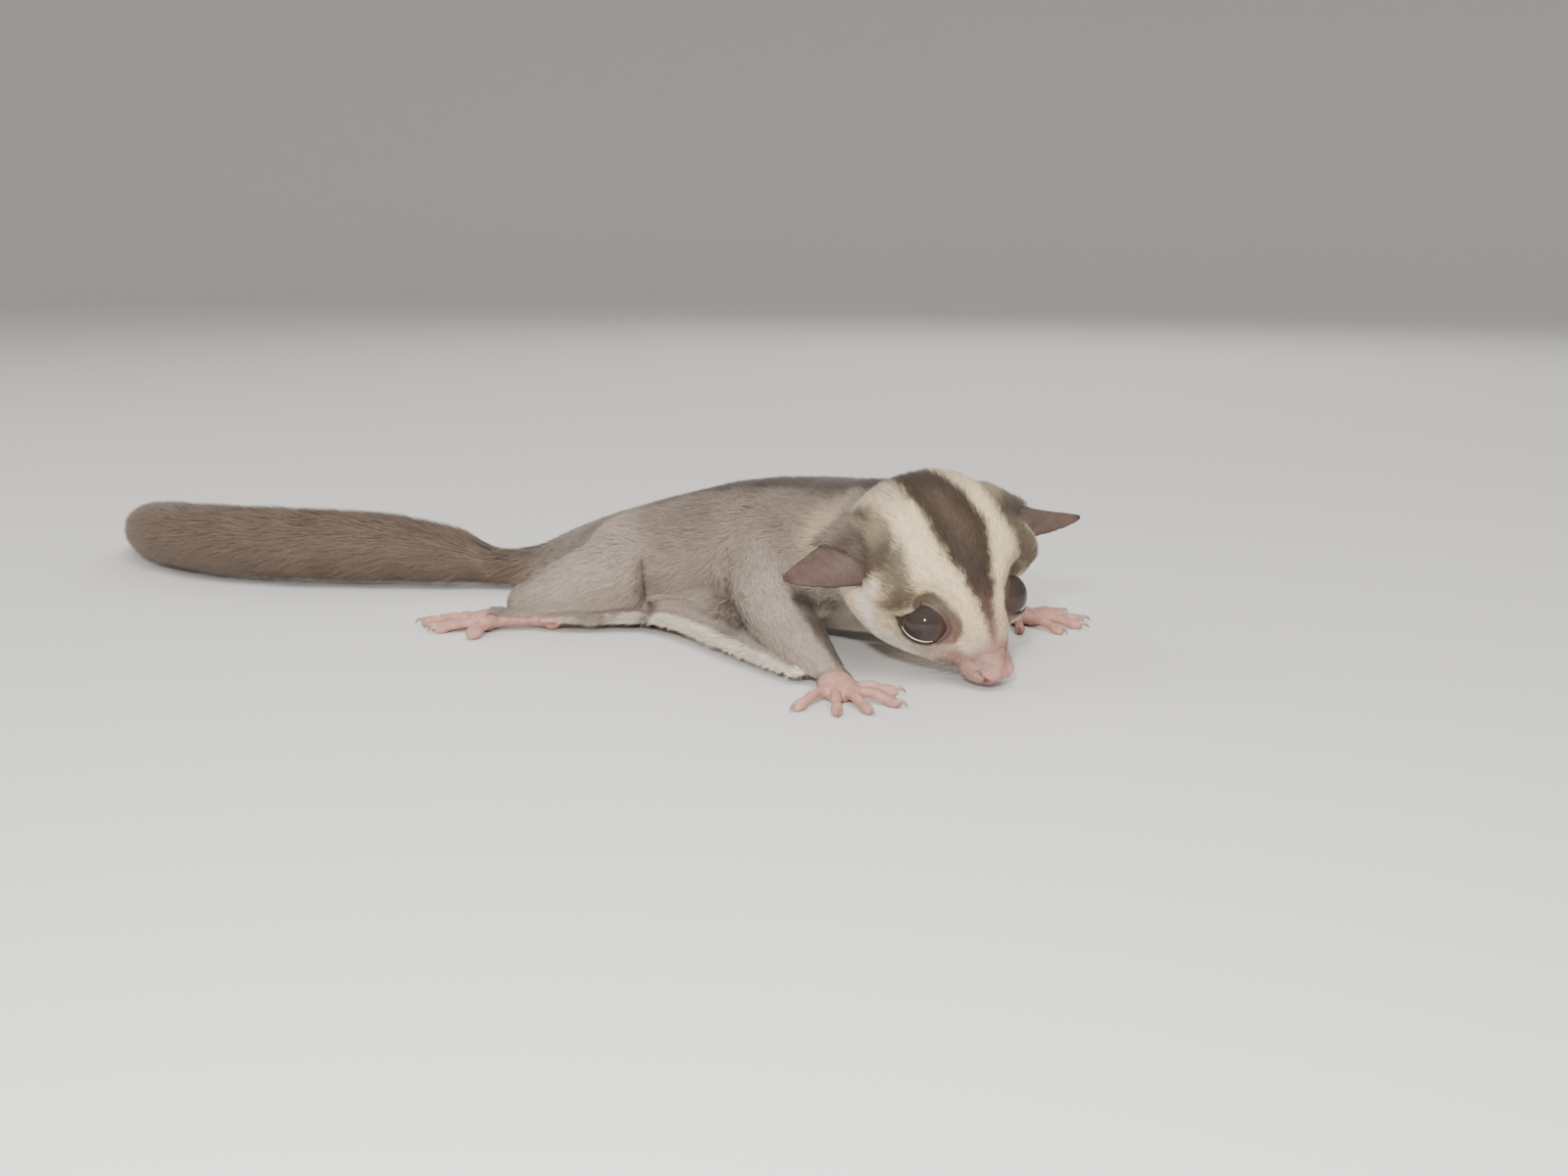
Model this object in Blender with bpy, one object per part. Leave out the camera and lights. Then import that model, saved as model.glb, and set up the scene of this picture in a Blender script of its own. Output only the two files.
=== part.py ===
"""A sugar glider at life size, lying belly down and leaning forward on its right hand.

Lengths are in millimetres here and become metres in finished(). The floor is z = 0, +x runs to the
animal's front left along the edge it lies on, and -y is the side its face turns to. The flesh is lofted
from a few stations along each limb, grown together into one smooth body and then parted by thin cuts.
"""

import math

import bmesh
import bpy
import numpy as np
from mathutils import Matrix, Vector

MM = 0.001
GAP = 0.32                      # free space between neighbouring solids

# ---- driving sizes -------------------------------------------------------------------------------
HEAD_CENTRE = (27.7, -36.0, 18.0)
HEAD_TURN = tuple(math.radians(a) for a in (14.0, 37.5, -53.7))   # roll, nose down, heading
HEAD_SIZE = 0.96                # of the sizes given in the head's own frame
EYE_RADIUS = 4.15
EYE_PLACE = (6.4, 8.25, -2.1)   # forward, to the side, up
EAR_BASE = (-7.6, 11.8, 5.2)
EAR_LENGTH = 18.8
EAR_WIDTH = 13.0
EAR_THICKNESS = 0.8
EAR_TAPER = 0.66                # the width falls as (1 - share of the length) to this power
EAR_ROLL = (66, 28)             # half angle of the ear's arc at its root and towards its tip, in degrees
# Where each ear points, and where its front edge lies from its middle: forward, outward, up.
EAR_AIM = {"ear_r": ((0.14, 0.98, -0.10), (0.97, 0.0, -0.25)),
           "ear_l": ((0.44, 0.88, -0.12), (0.95, 0.0, 0.14))}
# Fuller places on both sides of the head: forward, outward, up, and their half sizes.
HEAD_LUMPS = [(-7.0, 12.2, 5.4, 4.8, 4.2, 4.6),     # the ear's root
              (0.2, 13.0, 3.2, 5.8, 4.6, 4.2)]      # the cheekbone between eye and ear
NOSE_LOBE = (18.7, 1.95, -5.6)  # one on each side of the nose's middle
NOSE_LOBE_SIZE = (1.75, 1.75, 1.6)
NOSE_BRIDGE = (18.9, 0.0, -5.3)
NOSE_BRIDGE_SIZE = (1.75, 2.0, 1.65)
FINGER_RADIUS = 0.95
CLAW_LENGTH = 2.3
CLAW_RADIUS = 0.36
LIMB_ROOM = 1.4                 # how far the bag that takes a limb off the body stands outside it

# Voxel sizes for growing shapes together, and how many triangles each keeps.
BODY_GRAIN = 0.85
BODY_TRIANGLES = 2050
PAW_GRAIN = 0.26
PAW_TRIANGLES = 380
NOSE_GRAIN = 0.3
NOSE_TRIANGLES = 120

# A station is (x, y, z, half width, half height) of the furred outline.
TRUNK = [
    (16, -13, 19.8, 12.0, 11.2),
    (8, -2, 17.2, 16.2, 13.2),
    (-4, 8, 14.6, 18.2, 14.0),
    (-16, 17.5, 12.2, 19.0, 12.6),
    (-28, 26.5, 9.9, 18.4, 10.5),
    (-39, 34, 7.6, 13.6, 8.2),
    (-49, 38.5, 5.4, 7.4, 5.9),
]
NECK = [
    (22.5, -27, 18.8, 12.6, 13.6),
    (18.0, -18, 17.8, 13.8, 14.4),
    (11, -7, 16.4, 15.2, 14.6),
]
TAIL = [
    (-45, 37.5, 6.0, 7.8, 6.6),
    (-58, 40.5, 4.6, 5.6, 5.0),
    (-70, 41.5, 6.8, 7.2, 7.0),
    (-83, 43, 8.2, 8.5, 8.4),
    (-102, 45, 8.8, 9.0, 9.0),
    (-121, 51, 8.6, 8.9, 8.9),
    (-136, 62, 8.0, 8.3, 8.2),
    (-146, 76, 6.6, 7.0, 6.8),
    (-151, 89, 4.2, 4.2, 4.3),
    (-152, 95, 2.6, 2.0, 2.4),
]
ARM_R = [
    (-3, 1, 13.6, 9.6, 9.8),
    (-3, -10, 12.2, 9.2, 9.4),
    (-1, -21, 9.4, 7.4, 7.4),
    (3, -32, 6.2, 5.4, 5.2),
    (7, -41.5, 3.6, 3.7, 3.4),
    (8.2, -45, 2.9, 3.2, 2.8),
]
ARM_L = [
    (19, 5, 13.6, 9.4, 9.6),
    (26, 11.5, 11.2, 8.6, 9.0),
    (33, 17, 8.2, 6.4, 6.8),
    (39.3, 15.2, 5.8, 5.0, 5.0),
    (41.5, 10.2, 3.8, 3.7, 3.5),
    (42.2, 7.4, 3.0, 3.2, 2.8),
]
LEG_R = [
    (-28, 22, 10.6, 9.8, 9.6),
    (-29.5, 13, 11.2, 9.8, 9.4),
    (-31.5, 6.5, 10.4, 8.6, 8.6),
    (-38, 3.6, 8.4, 6.6, 7.2),
    (-45.5, 2.8, 6.0, 4.8, 5.4),
    (-51, 2.4, 4.6, 3.4, 3.6),
]
LEG_L = [
    (-19, 36, 10.6, 9.8, 9.6),
    (-10, 43, 11.0, 9.4, 9.2),
    (-3.5, 48.5, 10.2, 8.4, 8.4),
    (-9, 53.5, 8.0, 6.4, 6.8),
    (-16.5, 57.3, 5.8, 4.6, 5.0),
    (-21, 59, 4.6, 3.5, 3.6),
]
# The gliding skin, drawn in along the flank from wrist to ankle.
FRILL_R = [
    (3.2, -41, 2.2, 1.8, 1.0),
    (-2.2, -32, 2.6, 2.8, 1.2),
    (-7.8, -22, 2.8, 3.8, 1.3),
    (-13.8, -10.8, 2.9, 4.6, 1.4),
    (-21, -1.4, 2.9, 4.8, 1.4),
    (-30, 1.8, 2.5, 4.2, 1.4),
    (-39, -0.2, 2.6, 3.2, 1.2),
    (-46, -1.0, 2.4, 2.0, 1.0),
]
FRILL_L = [
    (44.4, 12.6, 2.4, 1.8, 1.0),
    (41.4, 20.2, 2.6, 2.8, 1.2),
    (32.2, 24.4, 2.8, 3.8, 1.3),
    (20.2, 26.4, 2.8, 4.8, 1.4),
    (10.2, 33.6, 2.8, 5.0, 1.4),
    (4.4, 44.0, 2.6, 4.2, 1.3),
    (-2.1, 55.6, 2.6, 3.3, 1.2),
    (-13, 61.1, 2.4, 2.0, 1.0),
]
# Along the head's own forward axis: (forward, half width, top, bottom) of each section.
HEAD = [
    (18.8, 1.9, -4.2, -7.6),
    (17.0, 3.4, -2.0, -8.9),
    (13.8, 5.0, 1.6, -10.3),
    (10.4, 8.2, 4.8, -12.2),
    (6.4, 12.0, 8.0, -14.2),
    (1.6, 15.8, 10.2, -16.0),
    (-4.4, 17.3, 11.4, -17.2),
    (-10.4, 16.6, 11.6, -17.6),
    (-15.6, 14.4, 10.4, -16.4),
    (-19.4, 9.6, 7.4, -12.4),
]
HAND_R = (8.2, -45.5, math.radians(-79))     # x, y and heading of a paw, whose first digit is on its left
HAND_L = (42.7, 6.6, math.radians(-12))
FOOT_R = (-43.0, 1.0, math.radians(180))
FOOT_L = (-21.0, 60.5, math.radians(24))
PALM = [
    (-2.5, 0, 2.6, 2.5, 2.3),
    (1.0, 0, 2.1, 3.2, 2.0),
    (4.2, 0, 1.7, 3.6, 1.7),
    (5.8, 0, 1.5, 2.8, 1.4),
]
SOLE = [
    (0.6, 0, 2.2, 1.9, 2.1),
    (4.5, 0, 2.3, 2.2, 2.2),
    (9.5, 0, 2.3, 2.7, 2.1),
    (13.5, -0.2, 2.2, 3.3, 1.9),
    (15.8, -0.3, 1.9, 2.6, 1.6),
]
# A digit is (start forward, start sideways, angle to the side in degrees, length, fullness).
FINGERS = [
    (2.6, 2.5, 80, 7.2, 1.0),
    (5.2, 2.3, 43, 8.6, 0.95),
    (6.0, 0.7, 12, 9.0, 0.95),
    (5.8, -1.0, -11, 9.2, 1.0),
    (4.6, -2.4, -46, 8.6, 1.0),
]
TOES = [
    (11.5, 1.8, 62, 8.0, 1.4),
    (15.4, 1.5, 16, 7.6, 0.9),
    (15.8, 0.3, 8, 8.0, 0.9),
    (15.8, -1.3, -6, 10.6, 1.12),
    (14.2, -2.5, -22, 9.2, 1.05),
]
# Along a digit: share of its length, height and size in radii of a finger.
DIGIT_FORM = [(-0.25, 1.5, 1.05), (0.15, 1.75, 1.0), (0.5, 1.7, 0.92), (0.82, 1.05, 1.12), (0.95, 0.8, 1.0)]
CLAW_FORM = [(-0.1, 1.15, 1.18), (0.35, 1.45, 1.05), (0.7, 1.15, 0.94), (1.0, 0.5, 0.85)]
CLAW_START = 0.95               # of the digit's length
NECK_CUT = ((20.6, -23.0, 22.6), (0.42, -0.80, 0.22))
SHOULDER_CUT = ((15.5, -13.4, 18.6), (0.56, -0.78, 0.24))
TAIL_CUTS = [
    ((-50.0, 38.9, 6.0), (-0.96, 0.26, 0.0)),
    ((-76.0, 42.4, 7.0), (-1.0, 0.08, 0.0)),
    ((-104.0, 45.6, 8.0), (-0.98, 0.2, 0.0)),
    ((-130.0, 57.0, 8.0), (-0.78, 0.62, 0.0)),
]

FUR_GREY = (0.26, 0.22, 0.185)
FUR_CREAM = (0.60, 0.50, 0.38)
FUR_TAIL = (0.17, 0.135, 0.105)
SKIN_PINK = (0.62, 0.33, 0.30)
SKIN_EAR = (0.19, 0.13, 0.115)
EYE_BLACK = (0.01, 0.008, 0.008)


# ---- small tools ---------------------------------------------------------------------------------
def material(name, colour, roughness):
    """One plain finish."""
    made = bpy.data.materials.get(name)
    if made:
        return made
    made = bpy.data.materials.new(name)
    made.use_nodes = True
    shader = made.node_tree.nodes["Principled BSDF"]
    shader.inputs["Base Color"].default_value = (*colour, 1.0)
    shader.inputs["Roughness"].default_value = roughness
    shader.inputs["Metallic"].default_value = 0.0
    return made


def add(name, mesh):
    """Puts a mesh into the scene under this name."""
    made = bpy.data.objects.new(name, mesh)
    bpy.context.scene.collection.objects.link(made)
    return made


def drop(*objects):
    """Removes helpers that have done their work."""
    for made in objects:
        bpy.data.objects.remove(made)


def smooth_stations(stations, steps):
    """Reads a Catmull-Rom curve through the stations, `steps` rows to a span."""
    knots = np.array(stations, float)
    knots = np.vstack([2 * knots[0] - knots[1], knots, 2 * knots[-1] - knots[-2]])
    rows = []
    for i in range(1, len(knots) - 2):
        a, b, c, d = knots[i - 1:i + 3]
        for k in range(steps):
            t = k / steps
            rows.append(0.5 * (2 * b + (c - a) * t + (2 * a - 5 * b + 4 * c - d) * t * t
                               + (3 * b - a - 3 * c + d) * t ** 3))
    rows.append(knots[-2])
    return np.array(rows)


def rounded_ends(rows, bulge=0.8):
    """Adds shrinking rows past each end, so that a loft closes as a dome."""
    first, last = rows[0], rows[-1]
    front, back = [], []
    for share in (0.45, 0.8, 0.98):
        for end, inner, found in ((first, rows[1], front), (last, rows[-2], back)):
            away = end[:3] - inner[:3]
            away = away / np.linalg.norm(away)
            row = end.copy()
            row[:3] = end[:3] + away * (share * bulge * min(end[3], end[4]))
            row[3:] = end[3:] * math.sqrt(1 - share * share)
            found.append(row)
    return np.array(front[::-1] + list(rows) + back)


def loft(name, rings):
    """Skins closed rings of points, in order, with a flat lid at each end."""
    mesh = bpy.data.meshes.new(name)
    form = bmesh.new()
    loops = [[form.verts.new(Vector(point) * MM) for point in ring] for ring in rings]
    count = len(loops[0])
    for near, far in zip(loops, loops[1:]):
        for i in range(count):
            j = (i + 1) % count
            form.faces.new((near[i], near[j], far[j], far[i]))
    form.faces.new(loops[0][::-1])
    form.faces.new(loops[-1])
    bmesh.ops.recalc_face_normals(form, faces=form.faces)
    form.to_mesh(mesh)
    form.free()
    return add(name, mesh)


def tube(name, stations, sides=20, steps=4, swell=0.0):
    """A furred limb: elliptic sections square to a smooth line through the stations. swell widens all but
    its tips."""
    rows = rounded_ends(smooth_stations(stations, steps))
    rows[:, 3:] += swell * (rows[:, 3:] > 0.5)
    rings = []
    for k, row in enumerate(rows):
        along = Vector(rows[min(k + 1, len(rows) - 1)][:3] - rows[max(k - 1, 0)][:3]).normalized()
        side = along.cross(Vector((0, 0, 1))).normalized()
        over = side.cross(along)
        turns = [2 * math.pi * i / sides for i in range(sides)]
        rings.append([Vector(row[:3]) + side * (row[3] * math.cos(a)) + over * (row[4] * math.sin(a))
                      for a in turns])
    return loft(name, rings)


def head_frame():
    """From the head's own axes (forward, left, up) to the model's, in millimetres."""
    roll, pitch, heading = HEAD_TURN
    turn = (Matrix.Rotation(heading, 4, "Z") @ Matrix.Rotation(pitch, 4, "Y")
            @ Matrix.Rotation(roll, 4, "X"))
    return Matrix.Translation(HEAD_CENTRE) @ turn @ Matrix.Scale(HEAD_SIZE, 4)


def floor_frame(paw):
    """From a paw's own axes (forward, left, up) to the model's."""
    return Matrix.Translation((paw[0], paw[1], 0)) @ Matrix.Rotation(paw[2], 4, "Z")


def placed(made, frame):
    """Moves a mesh by a frame that counts in millimetres."""
    made.data.transform(Matrix.Scale(MM, 4) @ frame @ Matrix.Scale(1 / MM, 4))
    made.data.update()
    return made


def applied(made, *modifiers):
    """Adds modifiers given as (type, settings), and makes their result the object's own mesh."""
    for kind, settings in modifiers:
        added = made.modifiers.new(kind.lower(), kind)
        for key, value in settings.items():
            setattr(added, key, value)
    bpy.context.view_layer.update()
    graph = bpy.context.evaluated_depsgraph_get()
    mesh = bpy.data.meshes.new_from_object(made.evaluated_get(graph))
    made.modifiers.clear()
    made.data = mesh
    return made


def joined(name, *objects):
    """One object of several meshes, which still cross each other."""
    form = bmesh.new()
    for made in objects:
        form.from_mesh(made.data)
    mesh = bpy.data.meshes.new(name)
    form.to_mesh(mesh)
    form.free()
    drop(*objects)
    return add(name, mesh)


def grown_together(made, voxel, smoothing, triangles):
    """Fuses crossing shapes into one skin, softens the seams and thins the mesh to a number of triangles."""
    applied(made, ("REMESH", {"mode": "VOXEL", "voxel_size": voxel * MM, "adaptivity": 0.0}))
    applied(made, ("SMOOTH", {"factor": 0.5, "iterations": smoothing}))
    made.data.calc_loop_triangles()
    share = triangles / len(made.data.loop_triangles)
    return applied(made, ("DECIMATE", {"ratio": share, "use_collapse_triangulate": True}))


def copy_of(made, name="copy"):
    return add(name, made.data.copy())


def swollen(made, by):
    """A copy whose surface stands `by` further out."""
    return applied(copy_of(made, "swollen"), ("DISPLACE", {"strength": by * MM, "mid_level": 0.0}))


def combined(made, operation, other):
    """Boolean of two objects. The other one is left as it is."""
    return applied(made, ("BOOLEAN", {"operation": operation, "object": other, "solver": "EXACT"}))


def trimmed(made, *neighbours):
    """Cuts a piece back so that it stops just short of its neighbours."""
    for neighbour in neighbours:
        cutter = swollen(neighbour, GAP)
        combined(made, "DIFFERENCE", cutter)
        drop(cutter)
    return largest(made)


def loose_parts(mesh):
    """Vertex sets of a mesh's separate bodies, as lists of bmesh vertices in one bmesh."""
    form = bmesh.new()
    form.from_mesh(mesh)
    left, found = set(form.verts), []
    while left:
        stack, body = [left.pop()], set()
        while stack:
            vert = stack.pop()
            body.add(vert)
            for edge in vert.link_edges:
                other = edge.other_vert(vert)
                if other in left:
                    left.discard(other)
                    stack.append(other)
        found.append(body)
    return form, sorted(found, key=len, reverse=True)


def largest(made):
    """Keeps the biggest body and drops crumbs."""
    form, bodies = loose_parts(made.data)
    for body in bodies[1:]:
        bmesh.ops.delete(form, geom=list(body), context="VERTS")
    form.to_mesh(made.data)
    form.free()
    return made


def cut_flat(made, place, direction):
    """Removes all that lies beyond a plane, and closes the cut with a flat face."""
    form = bmesh.new()
    form.from_mesh(made.data)
    geometry = form.verts[:] + form.edges[:] + form.faces[:]
    bmesh.ops.bisect_plane(form, geom=geometry, dist=1e-7, plane_co=place, plane_no=direction,
                           clear_outer=True)
    rim = [edge for edge in form.edges if edge.is_boundary]
    bmesh.ops.holes_fill(form, edges=rim)
    bmesh.ops.triangulate(form, faces=form.faces[:])
    form.to_mesh(made.data)
    form.free()
    return made


def parted(made, cuts, names):
    """Parts a body by planes in turn. Each name but the last is what lies before its plane."""
    pieces = {}
    for (place, direction), name in zip(cuts, names):
        place, direction = Vector(place) * MM, Vector(direction).normalized()
        step = direction * (0.5 * GAP * MM)
        pieces[name] = cut_flat(copy_of(made, name), place - step, direction)
        cut_flat(made, place + step, -direction)
    made.name = names[-1]
    pieces[made.name] = made
    return pieces


# ---- the head ------------------------------------------------------------------------------------
def head_shape():
    """Muzzle, brow and skull from sections along the forward axis."""
    rings = []
    for forward, half, top, bottom in smooth_stations(HEAD, 3):
        middle = top - 0.46 * (top - bottom)
        ring = []
        for i in range(28):
            angle = 2 * math.pi * i / 28
            height = (top - middle) if math.sin(angle) > 0 else (middle - bottom)
            # A little squarer than an ellipse: full temples above, cheeks and jaws below.
            side = math.copysign(abs(math.cos(angle)) ** 0.76, math.cos(angle))
            ring.append((forward, half * side, middle + height * math.sin(angle)))
        rings.append(ring)
    return placed(loft("head_form", rings), head_frame())


def ball(name, place, sizes, rings=8, around=14):
    """A rounded form in the head's own frame."""
    mesh = bpy.data.meshes.new(name)
    form = bmesh.new()
    bmesh.ops.create_uvsphere(form, u_segments=around, v_segments=rings, radius=MM)
    form.to_mesh(mesh)
    form.free()
    return placed(add(name, mesh), head_frame() @ Matrix.Translation(place) @ Matrix.Diagonal((*sizes, 1)))


def mirrored(place, side):
    """A place given forward, outward and up, on the left (1) or the right (-1)."""
    return (place[0], side * place[1], place[2])


def eye(name, side):
    """One eyeball. It looks out to the side, a little forward and up."""
    return ball(name, mirrored(EYE_PLACE, side), (EYE_RADIUS,) * 3)


def nose():
    """The bare nose pad: two small lobes round the nostrils."""
    lobes = [ball("lobe", mirrored(NOSE_LOBE, side), NOSE_LOBE_SIZE, 7, 12) for side in (-1, 1)]
    bridge = ball("lobe", NOSE_BRIDGE, NOSE_BRIDGE_SIZE, 7, 12)
    return grown_together(joined("nose", bridge, *lobes), NOSE_GRAIN, 3, NOSE_TRIANGLES)


def ear(name, side):
    """A leaf-shaped shell with its back to the sky, rolled into half a funnel at its root."""
    aim, front = (Vector(way) for way in EAR_AIM[name])
    along = aim.normalized()
    across = (front - along * front.dot(along)).normalized()
    hollow = along.cross(across).normalized()
    root_roll, tip_roll = EAR_ROLL
    rows, columns = 9, 6
    inner, outer = [], []
    for i in range(rows + 1):
        s = 0.985 * i / rows
        half = 0.5 * EAR_WIDTH * (1 - s) ** EAR_TAPER
        wrap = math.radians(root_roll + (tip_roll - root_roll) * min(1, 1.25 * s))
        radius = half / math.sin(wrap)
        # The back's ridge sags towards the rear edge, bows a little, and rises at the funnel.
        spine = (Vector(EAR_BASE) + along * (EAR_LENGTH * s) - across * (2.2 * s * s)
                 + hollow * (1.4 * math.sin(math.pi * s) - 0.28 * radius * (1 - s)))
        line_in, line_out = [], []
        for j in range(columns + 1):
            turn = wrap * (2 * j / columns - 1)
            way = across * math.sin(turn) - hollow * math.cos(turn)
            centre = spine + hollow * radius
            line_in.append(centre + way * (radius - 0.5 * EAR_THICKNESS))
            line_out.append(centre + way * (radius + 0.5 * EAR_THICKNESS))
        inner.append(line_in)
        outer.append(line_out)
    rings = [a + b[::-1] for a, b in zip(inner, outer)]
    made = loft(name, [[(p.x, side * p.y, p.z) for p in ring] for ring in rings])
    return placed(made, head_frame())


# ---- paws ----------------------------------------------------------------------------------------
def digit(start, angle, length, fullness, clawed=True):
    """Base, knuckle and padded tip of one digit, and its hooked claw, flat on the floor."""
    across = Vector((math.cos(angle), math.sin(angle), 0))
    radius = FINGER_RADIUS * fullness
    stations = []
    for share, lift, size in DIGIT_FORM:
        point = Vector(start) + across * (share * length)
        stations.append((point.x, point.y, lift * radius, size * radius, size * radius))
    shapes = [tube("digit", stations, sides=10, steps=2)]
    if clawed:
        hook = []
        for share, rise, size in CLAW_FORM:
            point = Vector(start) + across * (CLAW_START * length + share * CLAW_LENGTH)
            size *= CLAW_RADIUS
            hook.append((point.x, point.y, rise * radius, size, 1.1 * size))
        shapes.append(tube("claw", hook, sides=8, steps=2))
    return shapes


def paw(name, sole, digits, place, side, bare_first):
    """A palm or sole with its digits. side is 1 where the first digit is on the paw's left."""
    shapes = [tube("sole", sole, sides=16, steps=3)]
    for number, (forward, out, degrees, length, fullness) in enumerate(digits):
        clawed = number > 0 or not bare_first
        shapes += digit((forward, out, 0), math.radians(degrees), length, fullness, clawed)
    made = joined(name, *shapes)
    if side < 0:
        made.data.transform(Matrix.Diagonal((1, -1, 1, 1)))
        made.data.flip_normals()
    placed(made, floor_frame(place))
    return grown_together(made, PAW_GRAIN, 1, PAW_TRIANGLES)


def hand(name, place, side):
    """A hand, whose five digits all end in claws."""
    return paw(name, PALM, FINGERS, place, side, bare_first=False)


def foot(name, place, side):
    """A foot, whose opposed first toe has no claw."""
    return paw(name, SOLE, TOES, place, side, bare_first=True)


# ---- the body ------------------------------------------------------------------------------------
def whole_body():
    """Trunk, neck, head, limbs and tail as one soft skin."""
    forms = [tube("form", stations, sides=28, steps=5) for stations in (TRUNK, NECK)]
    forms += [tube("form", stations) for stations in (ARM_R, ARM_L, LEG_R, LEG_L, TAIL)]
    forms.append(head_shape())
    for lump in HEAD_LUMPS:
        forms += [ball("lump", mirrored(lump[:3], side), lump[3:], 10, 18) for side in (-1, 1)]
    return grown_together(joined("body", *forms), BODY_GRAIN, 7, BODY_TRIANGLES)


def limb_off(body, stations, cut, names):
    """Takes a limb off the body along its own outline, and parts it at its middle joint."""
    bag = tube("bag", stations, sides=10, steps=1, swell=LIMB_ROOM)
    limb = combined(copy_of(body, "limb"), "INTERSECT", bag)
    around = swollen(bag, GAP)
    combined(body, "DIFFERENCE", around)
    drop(bag, around)
    largest(limb)
    return parted(limb, [cut], names)


def finished(made, finish, colour, roughness=0.85):
    """A piece with its material. What would sink into the floor is cut off, which leaves flats to rest on."""
    if min(vert.co.z for vert in made.data.vertices) < 0:
        cut_flat(made, (0, 0, 0), (0, 0, -1))
    made.data.materials.clear()
    made.data.materials.append(material(finish, colour, roughness))
    made.data.shade_smooth()
    made.data.set_sharp_from_angle(angle=math.radians(50))
    return made


def centred(pieces):
    """Moves the whole model so that its origin is the middle of its box, on the floor."""
    points = np.array([vert.co[:2] for made in pieces for vert in made.data.vertices])
    middle = (points.min(axis=0) + points.max(axis=0)) / 2
    for made in pieces:
        made.data.transform(Matrix.Translation((-middle[0], -middle[1], 0)))


def main():
    for old in list(bpy.data.objects):
        bpy.data.objects.remove(old)
    body = whole_body()
    frills = {name: trimmed(tube(name, stations, sides=6, steps=2), body)
              for name, stations in (("glide_skin_r", FRILL_R), ("glide_skin_l", FRILL_L))}
    limbs = {}
    for stations, joint, names in (
            (ARM_R, 2, ("upper_arm_r", "forearm_r")),
            (ARM_L, 2, ("upper_arm_l", "forearm_l")),
            (LEG_R, 2, ("thigh_r", "shank_r")),
            (LEG_L, 2, ("thigh_l", "shank_l"))):
        before, here, after = (Vector(station[:3]) for station in stations[joint - 1:joint + 2])
        limbs |= limb_off(body, stations, (here, after - before), names)
    largest(body)
    tail = parted(body, TAIL_CUTS, ("core", "tail_1", "tail_2", "tail_3", "tail_4"))
    torso = parted(tail.pop("core"), [SHOULDER_CUT, NECK_CUT], ("trunk", "neck", "head"))
    head = torso["head"]
    eyes = {name: eye(name, side) for name, side in (("eye_r", -1), ("eye_l", 1))}
    for made in eyes.values():
        socket = swollen(made, GAP)
        combined(head, "DIFFERENCE", socket)
        drop(socket)
    largest(head)
    pad = trimmed(nose(), head)
    ears = {name: trimmed(ear(name, side), head) for name, side in (("ear_r", -1), ("ear_l", 1))}
    paws = {}
    for name, whole, neighbours in (
            ("hand_r", hand("hand_r", HAND_R, 1), ("forearm_r",)),
            ("hand_l", hand("hand_l", HAND_L, -1), ("forearm_l",)),
            ("foot_r", foot("foot_r", FOOT_R, 1), ("shank_r", "thigh_r")),
            ("foot_l", foot("foot_l", FOOT_L, 1), ("shank_l", "thigh_l"))):
        frill = frills["glide_skin" + name[-2:]]
        paws[name] = trimmed(whole, *(limbs[neighbour] for neighbour in neighbours), frill)
    for made in (*torso.values(), *limbs.values()):
        finished(made, "fur_grey", FUR_GREY)
    for made in tail.values():
        finished(made, "fur_tail", FUR_TAIL)
    for made in frills.values():
        finished(made, "fur_pale", FUR_CREAM)
    for made in (*paws.values(), pad):
        finished(made, "skin_pink", SKIN_PINK, 0.6)
    for made in ears.values():
        finished(made, "skin_ear", SKIN_EAR, 0.6)
    for made in eyes.values():
        finished(made, "eye_black", EYE_BLACK, 0.05)
    centred(list(bpy.data.objects))


main()
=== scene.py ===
"""The looks of a life-size sugar glider: one skin over the whole body, a coat of fine tufts, eyes, claws and
whiskers.

Shapes are worked out in millimetres in the frame the body was drawn in: z = 0 is the floor, -y is the side the
face turns to and +x runs to the animal's front left. to_model() turns them into metres in the model's frame.
A shape is a pair: an array of points and an array of triangles that index them.
"""

import math

import bpy
import numpy as np
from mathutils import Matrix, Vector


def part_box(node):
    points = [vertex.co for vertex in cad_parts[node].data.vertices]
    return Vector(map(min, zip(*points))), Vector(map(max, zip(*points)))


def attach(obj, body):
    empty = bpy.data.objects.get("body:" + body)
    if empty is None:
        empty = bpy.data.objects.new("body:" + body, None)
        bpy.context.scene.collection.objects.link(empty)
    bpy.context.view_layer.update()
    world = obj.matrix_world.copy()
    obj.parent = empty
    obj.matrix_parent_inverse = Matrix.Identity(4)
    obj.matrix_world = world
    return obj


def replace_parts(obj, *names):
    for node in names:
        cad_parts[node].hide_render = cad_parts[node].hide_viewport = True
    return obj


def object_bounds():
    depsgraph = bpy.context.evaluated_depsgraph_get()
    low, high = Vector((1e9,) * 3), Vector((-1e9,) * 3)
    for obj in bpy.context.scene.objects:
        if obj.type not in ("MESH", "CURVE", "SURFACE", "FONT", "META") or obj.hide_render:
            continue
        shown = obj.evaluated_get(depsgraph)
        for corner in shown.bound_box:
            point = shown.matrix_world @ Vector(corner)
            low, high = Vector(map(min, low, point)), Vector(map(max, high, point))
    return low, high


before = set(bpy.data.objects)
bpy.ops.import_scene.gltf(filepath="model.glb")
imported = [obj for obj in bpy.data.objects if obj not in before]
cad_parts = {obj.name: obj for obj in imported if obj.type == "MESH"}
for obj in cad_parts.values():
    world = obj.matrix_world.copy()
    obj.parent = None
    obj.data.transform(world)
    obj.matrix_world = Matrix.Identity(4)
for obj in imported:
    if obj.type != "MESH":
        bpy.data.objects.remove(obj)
cad_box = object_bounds()

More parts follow.
